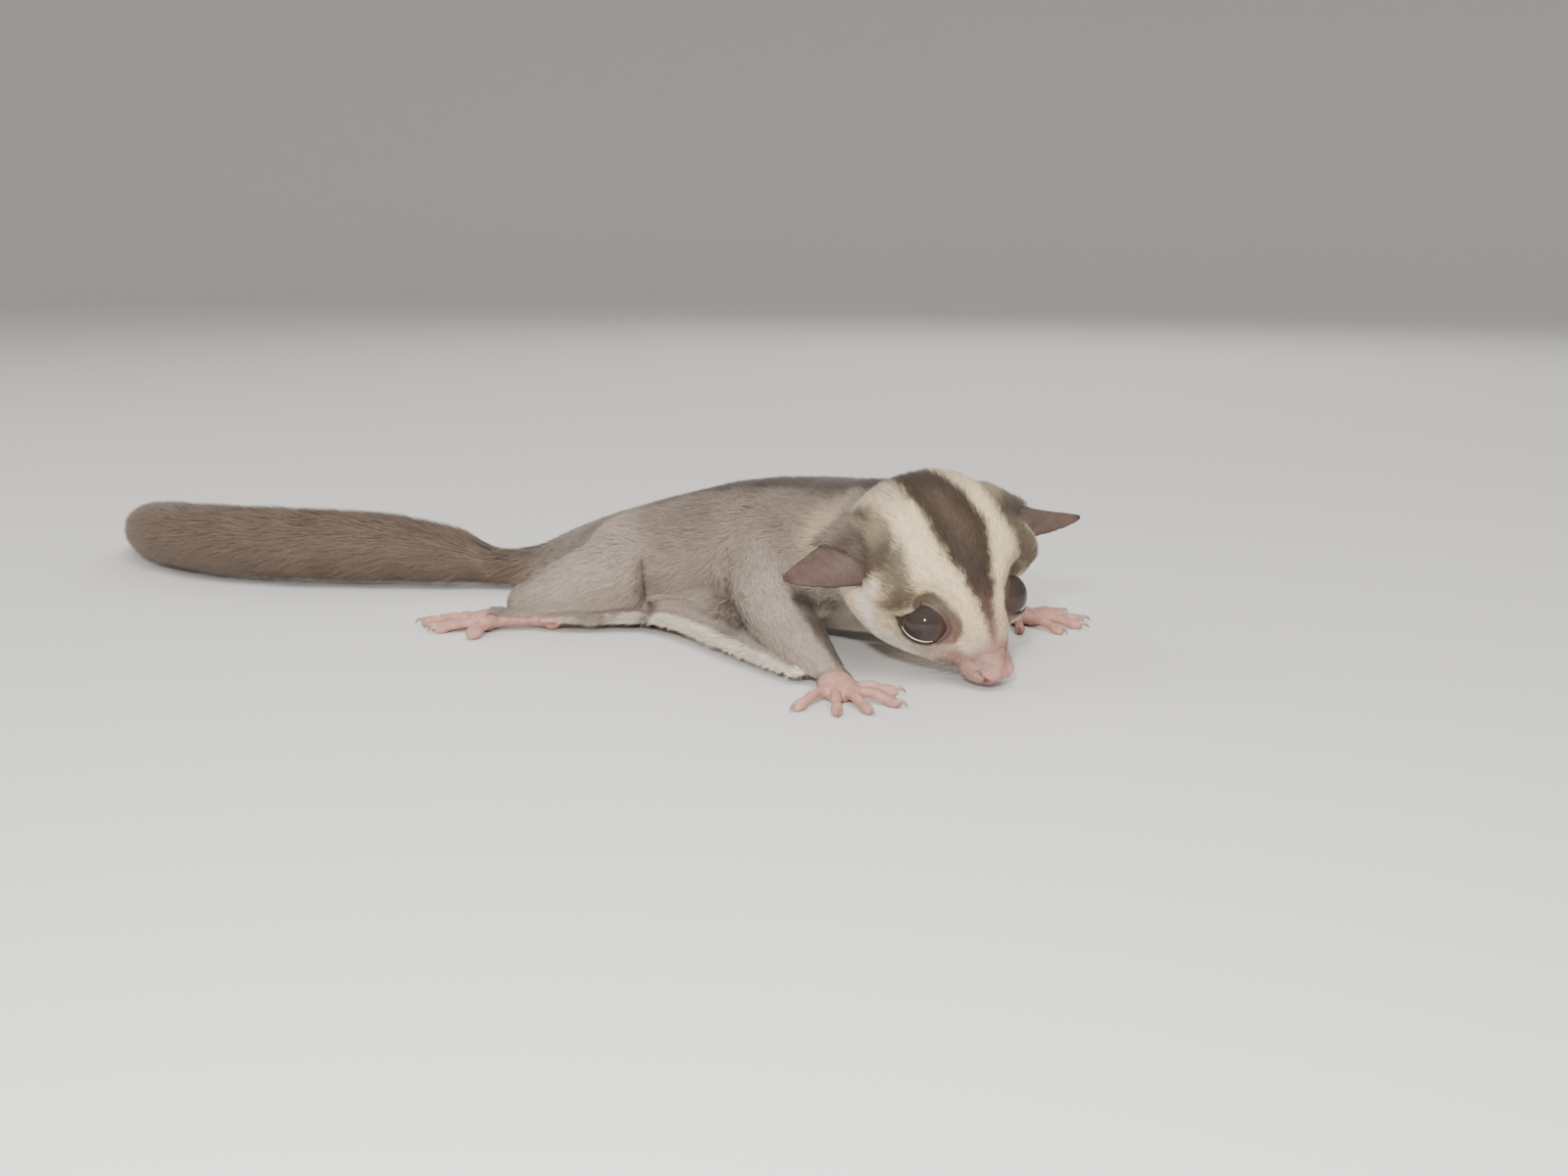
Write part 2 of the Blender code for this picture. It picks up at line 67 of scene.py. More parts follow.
MM = 0.001
UP = np.array((0.0, 0.0, 1.0))
RANDOM = np.random.default_rng(7)

# ---- the body's driving sizes, as its solids have them ---------------------------------------------
HEAD_CENTRE = np.array((27.7, -36.0, 18.0))
HEAD_TURN = np.radians((14.0, 37.5, -53.7))     # roll, nose down, heading
HEAD_SIZE = 0.96
EYE_RADIUS = 4.15
EYE_PLACE = (6.4, 8.25, -2.1)                   # forward, to the side, up
EAR_BASE = np.array((-7.6, 11.8, 5.2))
EAR_LENGTH = 18.8
EAR_WIDTH = 13.0
# Where each ear points, and where its front edge lies from its middle: forward, outward, up.
EAR_AIM = {"r": ((0.14, 0.98, -0.10), (0.97, 0.0, -0.25)), "l": ((0.44, 0.88, -0.12), (0.95, 0.0, 0.14))}
FINGER_RADIUS = 0.95
CLAW_LENGTH = 2.1
CLAW_RADIUS = 0.36
SIDES = {"r": -1, "l": 1}

# A station is (x, y, z, half width, half height) of the furred outline, from the head or the root outwards.
NECK = [(22.5, -27, 18.8, 12.6, 13.6), (18, -18, 17.8, 13.8, 14.4), (11, -7, 16.4, 15.2, 14.6)]
TRUNK = [(16, -13, 19.8, 12, 11.2), (8, -2, 17.2, 16.2, 13.2), (-4, 8, 14.6, 18.2, 14),
         (-16, 17.5, 12.2, 19, 12.6), (-28, 26.5, 9.9, 18.4, 10.5), (-39, 34, 7.6, 13.6, 8.2),
         (-49, 38.5, 5.4, 7.4, 5.9)]
TAIL = [(-45, 37.5, 6, 7.8, 6.6), (-58, 40.5, 4.6, 5.6, 5), (-70, 41.5, 6.8, 7.2, 7), (-83, 43, 8.2, 8.5, 8.4),
        (-102, 45, 8.8, 9, 9), (-121, 51, 8.6, 8.9, 8.9), (-136, 62, 8, 8.3, 8.2), (-146, 76, 6.6, 7, 6.8),
        (-151, 89, 4.2, 4.2, 4.3), (-152, 95, 2.6, 2, 2.4)]
ARM_R = [(-3, 1, 13.6, 9.6, 9.8), (-3, -10, 12.2, 9.2, 9.4), (-1, -21, 9.4, 7.4, 7.4), (3, -32, 6.2, 5.4, 5.2),
         (7, -41.5, 3.6, 3.7, 3.4), (8.2, -45, 2.9, 3.2, 2.8)]
ARM_L = [(19, 5, 13.6, 9.4, 9.6), (26, 11.5, 11.2, 8.6, 9), (33, 17, 8.2, 6.4, 6.8), (39.3, 15.2, 5.8, 5, 5),
         (41.5, 10.2, 3.8, 3.7, 3.5), (42.2, 7.4, 3, 3.2, 2.8)]
LEG_R = [(-28, 22, 10.6, 9.8, 9.6), (-29.5, 13, 11.2, 9.8, 9.4), (-31.5, 6.5, 10.4, 8.6, 8.6),
         (-38, 3.6, 8.4, 6.6, 7.2), (-45.5, 2.8, 6, 4.8, 5.4), (-51, 2.4, 4.6, 3.4, 3.6)]
LEG_L = [(-19, 36, 10.6, 9.8, 9.6), (-10, 43, 11, 9.4, 9.2), (-3.5, 48.5, 10.2, 8.4, 8.4),
         (-9, 53.5, 8, 6.4, 6.8), (-16.5, 57.3, 5.8, 4.6, 5), (-21, 59, 4.6, 3.5, 3.6)]
FRILL_R = [(3.2, -41, 2.2, 1.8, 1), (-2.2, -32, 2.6, 2.8, 1.2), (-7.8, -22, 2.8, 3.8, 1.3),
           (-13.8, -10.8, 2.9, 4.6, 1.4), (-21, -1.4, 2.9, 4.8, 1.4), (-30, 1.8, 2.5, 4.2, 1.4),
           (-39, -0.2, 2.6, 3.2, 1.2), (-46, -1, 2.4, 2, 1)]
FRILL_L = [(44.4, 12.6, 2.4, 1.8, 1), (41.4, 20.2, 2.6, 2.8, 1.2), (32.2, 24.4, 2.8, 3.8, 1.3),
           (20.2, 26.4, 2.8, 4.8, 1.4), (10.2, 33.6, 2.8, 5, 1.4), (4.4, 44, 2.6, 4.2, 1.3),
           (-2.1, 55.6, 2.6, 3.3, 1.2), (-13, 61.1, 2.4, 2, 1)]
# Sections of the head: forward, half width, top, bottom.
HEAD = [(18.8, 1.9, -4.2, -7.6), (17, 3.4, -2, -8.9), (13.8, 5, 1.6, -10.3), (10.4, 8.2, 4.8, -12.2),
        (6.4, 12, 8, -14.2), (1.6, 15.8, 10.2, -16), (-4.4, 17.3, 11.4, -17.2), (-10.4, 16.6, 11.6, -17.6),
        (-15.6, 14.4, 10.4, -16.4), (-19.4, 9.6, 7.4, -12.4)]
# A paw is x, y, heading and the side its first digit is on.
PAWS = {"hand_r": (8.2, -45.5, -79, 1), "hand_l": (42.7, 6.6, -12, -1),
        "foot_r": (-43, 1, 180, 1), "foot_l": (-21, 60.5, 24, 1)}
# A digit is forward, sideways, angle, length, fullness. A palm's or sole's station is as a limb's.
DIGITS = {"hand": [(2.6, 2.5, 80, 7.2, 1), (5.2, 2.3, 43, 8.6, 0.95), (6, 0.7, 12, 9, 0.95),
                   (5.8, -1, -11, 9.2, 1), (4.6, -2.4, -46, 8.6, 1)],
          "foot": [(11.5, 1.8, 62, 8, 1.4), (15.4, 1.5, 16, 7.6, 0.9), (15.8, 0.3, 8, 8, 0.9),
                   (15.8, -1.3, -6, 10.6, 1.12), (14.2, -2.5, -22, 9.2, 1.05)]}
SOLES = {"hand": [(-2.5, 0, 2.6, 2.3, 2.1), (1, 0, 2.1, 3, 1.9), (4.2, 0, 1.7, 3.4, 1.6),
                  (5.8, 0, 1.5, 2.6, 1.3)],
         "foot": [(0.6, 0, 2.1, 1.9, 2), (3.4, 0, 2.5, 1.9, 1.7), (7.5, 0, 2.5, 2.3, 1.6),
                  (11.8, -0.1, 2.2, 3, 1.7), (14, -0.2, 2.1, 3.1, 1.8), (15.8, -0.3, 1.9, 2.5, 1.5)]}
# The pads under a paw: forward, sideways, size.
PADS = {"hand": [(5.6, 1.9, 1.05), (6.2, 0.3, 1.05), (5.6, -1.4, 1.05), (1.2, 1.9, 1.15), (1.0, -1.7, 1.15)],
        "foot": [(1.2, 0.1, 1.8), (13.2, 1.6, 1.5), (15.3, 1.5, 1.3), (15.6, -0.4, 1.3), (14.4, -2.2, 1.3)]}

# Depth of the coat, length of its hair, and hairs to a square millimetre, at a limb's root and at its end.
COAT = {
    "neck": ((2.0, 3.3, 40), (2.2, 3.5, 39)),
    "trunk": ((2.2, 3.5, 38), (2.4, 3.9, 36)),
    "tail": ((2.6, 5.6, 32), (2.0, 6.5, 32)),
    "arm_r": ((2.0, 3.3, 40), (0.5, 1.2, 60)),
    "arm_l": ((2.0, 3.3, 40), (0.5, 1.2, 54)),
    "leg_r": ((2.0, 4.0, 38), (0.6, 1.9, 48)),
    "leg_l": ((2.0, 4.0, 36), (0.6, 1.9, 42)),
    "frill_r": ((0.3, 1.7, 46), (0.3, 1.7, 46)),
    "frill_l": ((0.3, 1.7, 42), (0.3, 1.7, 42)),
}
TAIL_FULL = (4.2, 7.6)          # depth and length where the tail is thickest
# The same on the head, from the back of the skull to the nose: forward, depth, length, hairs.
HEAD_COAT = [(-20, 2.0, 3.3, 42), (-12, 1.6, 2.9, 48), (-4, 1.0, 2.3, 58), (3, 0.75, 1.9, 68),
             (9, 0.45, 1.4, 84), (13.5, 0.24, 0.95, 92), (16.5, 0.14, 0.6, 80), (18.0, 0.07, 0.4, 46),
             (18.9, 0.0, 0.3, 0)]


# ---- small tools -----------------------------------------------------------------------------------
def unit(vectors):
    """Vectors over their lengths."""
    return vectors / np.maximum(np.linalg.norm(vectors, axis=-1, keepdims=True), 1e-9)


def ease(x, low, high):
    """0 below low, 1 above high, and 3t^2 - 2t^3 between them."""
    t = np.clip((x - low) / (high - low), 0, 1)
    return t * t * (3 - 2 * t)


def near(x, reach):
    """1 at distance 0, falling as a bell to nearly 0 at twice the reach."""
    return np.exp(-(x / reach) ** 2)


def turned(roll, pitch, heading):
    """The matrix of a roll about x, then a pitch about y, then a heading about z."""
    cr, sr, cp, sp, ch, sh = (f(a) for a in (roll, pitch, heading) for f in (math.cos, math.sin))
    about_x = np.array(((1, 0, 0), (0, cr, -sr), (0, sr, cr)))
    about_y = np.array(((cp, 0, sp), (0, 1, 0), (-sp, 0, cp)))
    about_z = np.array(((ch, -sh, 0), (sh, ch, 0), (0, 0, 1)))
    return about_z @ about_y @ about_x


HEAD_AXES = turned(*HEAD_TURN)


def from_head(local):
    """The head's own forward, left and up into the body's frame."""
    return HEAD_CENTRE + (np.asarray(local, float) * HEAD_SIZE) @ HEAD_AXES.T


def to_head(points):
    """The body's frame into the head's own: the way back."""
    return (points - HEAD_CENTRE) @ HEAD_AXES / HEAD_SIZE


def kind(paw):
    """hand or foot."""
    return paw[:4]


def from_paw(local, paw):
    """A paw's own forward, left and up, mirrored where its first digit is on the right."""
    x, y, heading, side = PAWS[paw]
    turn = turned(0, 0, math.radians(heading))
    return np.array((x, y, 0)) + (local * (1, side, 1)) @ turn.T


def to_paw(points, paw):
    """The body's frame into a paw's own: the way back."""
    x, y, heading, side = PAWS[paw]
    return ((points - (x, y, 0)) @ turned(0, 0, math.radians(heading))) * (1, side, 1)


def eye_middle(sign):
    """An eyeball's middle in the head's frame: sign is 1 on the left and -1 on the right."""
    forward, out, up = EYE_PLACE
    return np.array((forward, sign * out, up))


def eye_centre(sign):
    """The same in the body's frame."""
    return from_head(eye_middle(sign))


# The model's frame has its origin in the middle of the part, which the right eye's place gives.
EYE_BOX = np.array(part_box("eye_r")).mean(axis=0) / MM
TO_MODEL = np.array((*(EYE_BOX - eye_centre(-1))[:2], 0.0))


def to_model(points):
    """Millimetres of the body's frame into metres of the model's."""
    return (points + TO_MODEL) * MM


def smooth_line(stations, steps):
    """A Catmull-Rom curve through the stations, `steps` rows to a span."""
    knots = np.array(stations, float)
    knots = np.vstack([2 * knots[0] - knots[1], knots, 2 * knots[-1] - knots[-2]])
    t = (np.arange(steps) / steps)[:, None]
    spans = [0.5 * (2 * b + (c - a) * t + (2 * a - 5 * b + 4 * c - d) * t * t
                    + (3 * b - a - 3 * c + d) * t ** 3)
             for a, b, c, d in zip(knots, knots[1:], knots[2:], knots[3:])]
    return np.vstack([*spans, knots[-2:-1]])


def rounded_ends(rows, bulge=0.8):
    """Rows with a dome at each end: centres move out by a share of its size, sizes shrink as a circle's."""
    shares = np.array((0.35, 0.65, 0.87, 0.98))[:, None]
    domes = []
    for end, inner in ((rows[0], rows[1]), (rows[-1], rows[-2])):
        out = unit(end[:3] - inner[:3]) * bulge * min(end[3], end[4])
        domes.append(np.hstack([end[:3] + shares * out, end[3:] * np.sqrt(1 - shares ** 2)]))
    return np.vstack([domes[0][::-1], rows, domes[1]])


def skinned(rings, looped=False):
    """A closed surface through rings of equal count: bands between neighbours, and a fan to each end's
    middle. A looped one joins its last ring to its first. The sign of its volume turns its faces
    outwards."""
    count, around = rings.shape[:2]
    index = np.arange(count * around).reshape(count, around)
    following = np.roll(index, -1, axis=0) if looped else index[1:]
    a = index if looped else index[:-1]
    b, c = np.roll(a, -1, axis=1), np.roll(following, -1, axis=1)
    triangles = [np.stack((a, b, c), -1).reshape(-1, 3), np.stack((a, c, following), -1).reshape(-1, 3)]
    points = rings.reshape(-1, 3)
    if not looped:
        for end, ring, flip in ((count * around, index[0], 1), (count * around + 1, index[-1], -1)):
            fan = np.stack((np.full(around, end), np.roll(ring, -1), ring), -1)
            triangles.append(fan[:, ::flip])
        points = np.vstack([points, rings[0].mean(axis=0), rings[-1].mean(axis=0)])
    triangles = np.vstack(triangles)
    corner = points[triangles] - points.mean(axis=0)
    volume = np.einsum("ij,ij->", corner[:, 0], np.cross(corner[:, 1], corner[:, 2]))
    return points, triangles if volume > 0 else triangles[:, ::-1]


def tube(rows, around=16):
    """Elliptic rings square to a line: centre + side * half width * cos a + over * half height * sin a."""
    centre = rows[:, :3]
    along = unit(np.gradient(centre, axis=0))
    side = unit(np.cross(along, UP))
    over = np.cross(side, along)
    a = 2 * math.pi * np.arange(around) / around
    wide, high = rows[:, 3:4] * np.cos(a), rows[:, 4:5] * np.sin(a)
    return skinned(centre[:, None] + side[:, None] * wide[..., None] + over[:, None] * high[..., None])


def ball(centre, radii, around=24, axes=np.eye(3)):
    """A sphere stretched by three radii along its axes, from rings of latitude round the third one."""
    rise = np.linspace(-0.49, 0.49, around // 2) * math.pi
    a = 2 * math.pi * np.arange(around) / around
    rings = np.stack((np.outer(np.cos(rise), np.cos(a)), np.outer(np.cos(rise), np.sin(a)),
                      np.outer(np.sin(rise), np.ones(around))), -1)
    return skinned(np.asarray(centre) + (rings * radii) @ np.asarray(axes))


def joined(shapes):
    """Several shapes as one, still crossing each other."""
    starts = np.cumsum([0] + [len(points) for points, _ in shapes[:-1]])
    return (np.vstack([points for points, _ in shapes]),
            np.vstack([triangles + start for (_, triangles), start in zip(shapes, starts)]))


def normals_of(points, triangles):
    """Each point's normal: the sum of its triangles' cross products, at unit length."""
    corner = points[triangles]
    faces = np.cross(corner[:, 1] - corner[:, 0], corner[:, 2] - corner[:, 0])
    total = np.zeros_like(points)
    for k in range(3):
        for axis in range(3):
            total[:, axis] += np.bincount(triangles[:, k], faces[:, axis], len(points))
    return unit(total)


def relaxed(points, triangles, rounds, freedom=0.5):
    """Each round moves every point by `freedom` of the way to the mean of its neighbours."""
    edges = np.vstack([triangles[:, :2], triangles[:, 1:], triangles[:, ::2]])
    a, b = np.hstack([edges[:, 0], edges[:, 1]]), np.hstack([edges[:, 1], edges[:, 0]])
    count = np.bincount(a, minlength=len(points))[:, None]
    for _ in range(rounds):
        mean = np.stack([np.bincount(a, points[b, axis], len(points)) for axis in range(3)], -1) / count
        points = points + freedom * (mean - points)
    return points


def quick_mesh(name, points, corners, starts):
    """A mesh from whole arrays: points in metres, each face's corners in a row, and where each face starts."""
    mesh = bpy.data.meshes.new(name)
    mesh.vertices.add(len(points))
    mesh.vertices.foreach_set("co", np.ascontiguousarray(points, np.float32).ravel())
    mesh.loops.add(len(corners))
    mesh.loops.foreach_set("vertex_index", np.ascontiguousarray(corners, np.int32))
    mesh.polygons.add(len(starts))
    mesh.polygons.foreach_set("loop_start", np.ascontiguousarray(starts, np.int32))
    mesh.update(calc_edges=True)
    return mesh


def triangle_mesh(name, shape):
    """A mesh of a shape, in metres."""
    points, triangles = shape
    return quick_mesh(name, to_model(points), triangles.ravel(), np.arange(0, triangles.size, 3))


def shape_of(mesh):
    """A mesh's points and triangles, with corners at one place merged."""
    points = np.empty(len(mesh.vertices) * 3, np.float32)
    mesh.vertices.foreach_get("co", points)
    points = points.reshape(-1, 3).astype(float) / MM - TO_MODEL
    mesh.calc_loop_triangles()
    triangles = np.empty(len(mesh.loop_triangles) * 3, np.int32)
    mesh.loop_triangles.foreach_get("vertices", triangles)
    _, first, place = np.unique(np.round(points, 3), axis=0, return_index=True, return_inverse=True)
    triangles = place.reshape(-1)[triangles].reshape(-1, 3)
    whole = (triangles[:, 0] != triangles[:, 1]) & (triangles[:, 1] != triangles[:, 2]) \
        & (triangles[:, 2] != triangles[:, 0])
    return points[first], triangles[whole]


def linked(name, data):
    """A new object of a mesh, lamp or lens, in the scene."""
    made = bpy.data.objects.new(name, data)
    bpy.context.scene.collection.objects.link(made)
    return made


def put(name, mesh, material):
    """Puts a finished mesh into the scene as a piece that rides on the part's one body."""
    made = linked(name, mesh)
    mesh.materials.append(material)
    mesh.shade_smooth()
    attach(made, "root")
    return made


def after(mesh, step, weights=None, **settings):
    """A mesh as one modifier leaves it, with a weight of 0 or 1 for each point if the modifier takes them."""
    made = linked("passing", mesh)
    if weights is not None:
        held = made.vertex_groups.new(name="weights")
        for level in np.unique(weights):
            held.add(np.flatnonzero(weights == level).tolist(), float(level), "REPLACE")
        settings["vertex_group"] = held.name
    modifier = made.modifiers.new("step", step)
    for key, value in settings.items():
        setattr(modifier, key, value)
    graph = bpy.context.evaluated_depsgraph_get()
    done = bpy.data.meshes.new_from_object(made.evaluated_get(graph))
    bpy.data.objects.remove(made)
    bpy.data.meshes.remove(mesh)
    return done


def fused(shape, voxel):
    """One closed skin round shapes that cross each other."""
    mesh = after(triangle_mesh("flesh", shape), "REMESH", mode="VOXEL", voxel_size=voxel * MM, adaptivity=0.0)
    return shape_of(mesh)


def wander(points, scale, seed, waves=9):
    """Smooth noise from -1 to 1: the mean of sine waves of that length in random directions."""
    draw = np.random.default_rng(seed)
    ways = unit(draw.normal(size=(waves, 3))) * (2 * math.pi / scale) * draw.uniform(0.7, 1.4, (waves, 1))
    return np.sin(points @ ways.T + draw.uniform(0, 2 * math.pi, waves)).sum(axis=1) / math.sqrt(waves)


# ---- the limbs' own lines: where a point of the coat lies, and which way its hair runs ----------------
def head_line():
    """The head's middle line from the nose back, with the mean of its half sizes."""
    rows = smooth_line(HEAD, 2)
    centre = from_head(np.stack((rows[:, 0], 0 * rows[:, 0], (rows[:, 2] + rows[:, 3]) / 2), -1))
    return np.hstack([centre, rows[:, 1:2], (rows[:, 2:3] - rows[:, 3:4]) / 2])


LINES = {"head": head_line()} | {name: smooth_line(stations, 3) for name, stations in (
    ("neck", NECK), ("trunk", TRUNK), ("tail", TAIL), ("arm_r", ARM_R), ("arm_l", ARM_L),
    ("leg_r", LEG_R), ("leg_l", LEG_L), ("frill_r", FRILL_R), ("frill_l", FRILL_L))}
NAMES = list(LINES)


def along_line(points, rows):
    """For each point the share of the line's length at its nearest place, its distance in local radii,
    the line's direction there and the way out from the line."""
    centre, radius = rows[:, :3], rows[:, 3:].mean(axis=1)
    step = np.diff(centre, axis=0)
    best = np.full(len(points), np.inf)
    place = np.zeros(len(points))
    for k, run in enumerate(step):
        rest = points - centre[k]
        share = np.clip(rest @ run / (run @ run), 0, 1)
        gap = np.linalg.norm(rest - share[:, None] * run, axis=1)
        gap = gap / (radius[k] + share * (radius[k + 1] - radius[k]))
        closer = gap < best
        best[closer] = gap[closer]
        place[closer] = k + share[closer]
    knots = np.arange(len(rows))
    slope = np.gradient(centre, axis=0)
    way = unit(np.stack([np.interp(place, knots, slope[:, axis]) for axis in range(3)], -1))
    middle = np.stack([np.interp(place, knots, centre[:, axis]) for axis in range(3)], -1)
    return place / len(step), best, way, unit(points - middle)


class Places:
    """Where points lie on the body: their share of each limb, which is 1 / (distance in local radii)^6 over
    the sum for all limbs, and their place along and around it."""

    def __init__(self, points):
        self.points = points
        found = [along_line(points, LINES[name]) for name in NAMES]
        closeness = np.stack([np.maximum(gap, 0.05) for _, gap, _, _ in found], -1) ** -6.0
        self.share = dict(zip(NAMES, (closeness / closeness.sum(axis=1, keepdims=True)).T))
        self.place = {name: item[0] for name, item in zip(NAMES, found)}
        self.way = {name: item[2] for name, item in zip(NAMES, found)}
        self.out = {name: item[3] for name, item in zip(NAMES, found)}
        self.limb = closeness.argmax(axis=1)
        self.head = to_head(points)

    def blended(self, values):
        """Values given for each limb, mixed by the limbs' shares."""
        extra = [1] * (values["head"].ndim - 1)
        return sum(self.share[name].reshape(-1, *extra) * values[name] for name in NAMES)


def coat_at(where):
    """Depth, hair length and hairs to a square millimetre at each place."""
    forward = where.head[:, 0]
    table = np.array(HEAD_COAT, float)
    values = {"head": np.stack([np.interp(forward, table[:, 0], table[:, k]) for k in (1, 2, 3)], -1)}
    for name, (start, end) in COAT.items():
        place = where.place[name][:, None]
        values[name] = np.array(start) + (np.array(end) - np.array(start)) * place
    full = near(where.place["tail"] - 0.55, 0.33)[:, None]
    values["tail"][:, :2] += full * (np.array(TAIL_FULL) - values["tail"][:, :2])
    return where.blended(values).T


def lie_of(where, normals):
    """The way the hair runs, flat on the skin: back from the nose, then along each limb, sinking a little."""
    ways = dict(where.way)
    nose = from_head((21.0, 0.0, -5.0))
    ways["head"] = unit(where.points - nose)
    for name in ("frill_r", "frill_l"):
        ways[name] = unit(0.6 * where.way[name] + 0.8 * where.out[name])
    for name in ("leg_r", "leg_l"):
        lower = ease(where.place[name], 0.1, 0.6)[:, None]
        ways[name] = unit(lower * where.way[name] + (1 - lower) * where.way["trunk"])
    way = where.blended(ways)
    way = way - 0.22 * UP
    for axis in range(3):
        way[:, axis] += (0.16 * wander(where.points, 9.0, 20 + axis)
                         + 0.11 * wander(where.points, 1.8, 30 + axis))
    for sign in SIDES.values():
        rim = lid_place(where.head, sign)[0]
        way += (2.2 * (1 - ease(rim, 0.6, 3.2)))[:, None] * unit(where.points - eye_centre(sign))
    return unit(way - (way * normals).sum(axis=1, keepdims=True) * normals)


# ---- what is bare ------------------------------------------------------------------------------------
def ear_axes(side):
    """The ear's own directions in the head's frame: along it, across to its front edge, and into its hollow,
    which looks down."""
    aim, front = (np.array(way) for way in EAR_AIM[side])
    along = unit(aim)
    across = unit(front - along * (front @ along))
    return along, across, unit(np.cross(along, across))


def ear_section(share):
    """Radius, half angle and spine offsets (across, into the hollow) of the ear's arc at a share of its
    length."""
    half = 0.5 * EAR_WIDTH * np.maximum(1 - share, 0) ** 0.66
    wrap = np.radians(66 - 38 * np.minimum(1, 1.25 * share))
    radius = half / np.sin(wrap)
    return radius, wrap, -2.2 * share ** 2, 1.4 * np.sin(math.pi * share) - radius * 0.28 * (1 - share)


def ear_place(points, side):
    """Share of the ear's length, angle round its arc in half angles, and distance outside its middle
    surface."""
    along, across, hollow = ear_axes(side)
    local = to_head(points) * (1, SIDES[side], 1) - EAR_BASE
    share = np.clip(local @ along / EAR_LENGTH, -0.2, 1.1)
    radius, wrap, aside, inward = ear_section(np.clip(share, 0, 0.985))
    c = local @ across - aside
    h = local @ hollow - inward - radius
    return share, np.arctan2(c, -h) / wrap, np.hypot(c, h) - radius


def on_ear(points, side):
    """1 on the ear's shell and 0 on the head."""
    share, turn, off = ear_place(points, side)
    return (ease(share, 0.02, 0.12) * (1 - ease(np.abs(off), 0.9, 1.6)) * (1 - ease(np.abs(turn), 1.12, 1.3))
            * (share < 1.05))


def on_ears(points):
    """1 on either ear's shell."""
    return np.maximum(on_ear(points, "r"), on_ear(points, "l"))


def paw_lines(paw):
    """The sole's line and each digit's, in the body's frame."""
    lines = [smooth_line(SOLES[kind(paw)], 2)] + [digit_rows(*digit) for digit in DIGITS[kind(paw)]]
    return [np.hstack([from_paw(rows[:, :3], paw), rows[:, 3:]]) for rows in lines]


# Share of a digit's length, height of its line and its half size over the digit's radius.
DIGIT = [(-0.25, 1.5, 1.0), (0.1, 1.72, 0.97), (0.3, 1.85, 0.9), (0.46, 1.8, 1.02), (0.64, 1.4, 0.86),
         (0.84, 1.0, 1.1), (0.96, 0.85, 0.95)]


def on_digit(forward, out, degrees, reach, height, wide, high):
    """Rows at some distances along a digit: its root + reach * (cos angle, sin angle), each at its own
    height."""
    angle = math.radians(degrees)
    return np.stack((forward + reach * math.cos(angle), out + reach * math.sin(angle), height, wide, high), -1)


def digit_rows(forward, out, degrees, length, fullness):
    """A digit's centre line and half sizes: a knuckle, a slimmer link and a padded tip."""
    share, lift, size = np.array(DIGIT).T
    radius = FINGER_RADIUS * fullness
    return smooth_line(on_digit(forward, out, degrees, share * length, lift * radius, size * radius,
                                size * radius), 3)


def bareness(where):
    """1 where the skin is bare: paws, nose, lips, lids, and the ears but for their roots."""
    points = where.points
    bare = ease(where.head[:, 0], 18.2, 19.2)
    for side, sign in SIDES.items():
        share, turn, off = ear_place(points, side)
        inner = ease(-off, -0.1, 0.2)
        start = 0.20 - 0.12 * inner - 0.17 * turn
        bare = np.maximum(bare, on_ear(points, side) * ease(share, start, start + 0.18))
        bare = np.maximum(bare, 1 - ease(lid_place(where.head, sign)[0], 0.35, 0.6))
        inside = np.linalg.norm(where.head - eye_middle(sign), axis=1)
        bare = np.maximum(bare, inside < EYE_RADIUS)
    for paw in PAWS:
        local = to_paw(points, paw)
        gap = np.min([along_line(points, rows)[1] for rows in paw_lines(paw)], axis=0)
        if kind(paw) == "hand":
            start = ease(local[:, 0], -3.2, 3.4)
        else:
            low = ease(-local[:, 2], -3.6, -2.6) * ease(local[:, 0], -5, -3.5)
            start = np.maximum.reduce([ease(local[:, 0], 11.0, 14.0), ease(np.abs(local[:, 1]), 2.8, 3.6), low])
            gap = 0.7 * gap
        bare = np.maximum(bare, start * (1 - ease(gap, 1.25, 1.6)))
    return bare


# ---- the skin ----------------------------------------------------------------------------------------
GROWN = 0.22                                    # how far each solid grows to meet its neighbour
FLESH_VOXEL, FLESH_ROUNDS = 0.7, 14             # grain of the fused flesh, and how often it is made smoother
SKIN_VOXEL, SKIN_ROUNDS = 0.3, 3
UNDER_HAIR = 0.15                               # how far the skin lies below the coat's own depth
SKIN_TRIANGLES = 190000


def flesh_from_solids():
    """The body's solids but for paws, ears and nose, grown to meet across their cuts, fused and made
    smooth, then drawn in by the depth of the coat."""
    parts = [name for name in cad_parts
             if name.startswith(("trunk", "neck", "head", "tail", "upper", "fore", "thigh", "shank"))]
    shapes = []
    for name in sorted(parts):
        points, triangles = shape_of(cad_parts[name].data)
        shapes.append((points + GROWN * normals_of(points, triangles), triangles))
    shapes += [ball(eye_centre(side), (EYE_RADIUS * HEAD_SIZE,) * 3) for side in SIDES.values()]
    points, triangles = fused(joined(shapes), FLESH_VOXEL)
    points = relaxed(points, triangles, FLESH_ROUNDS)
    depth = coat_at(Places(points))[0]
    return opened(points - (depth + UNDER_HAIR)[:, None] * normals_of(points, triangles)), triangles


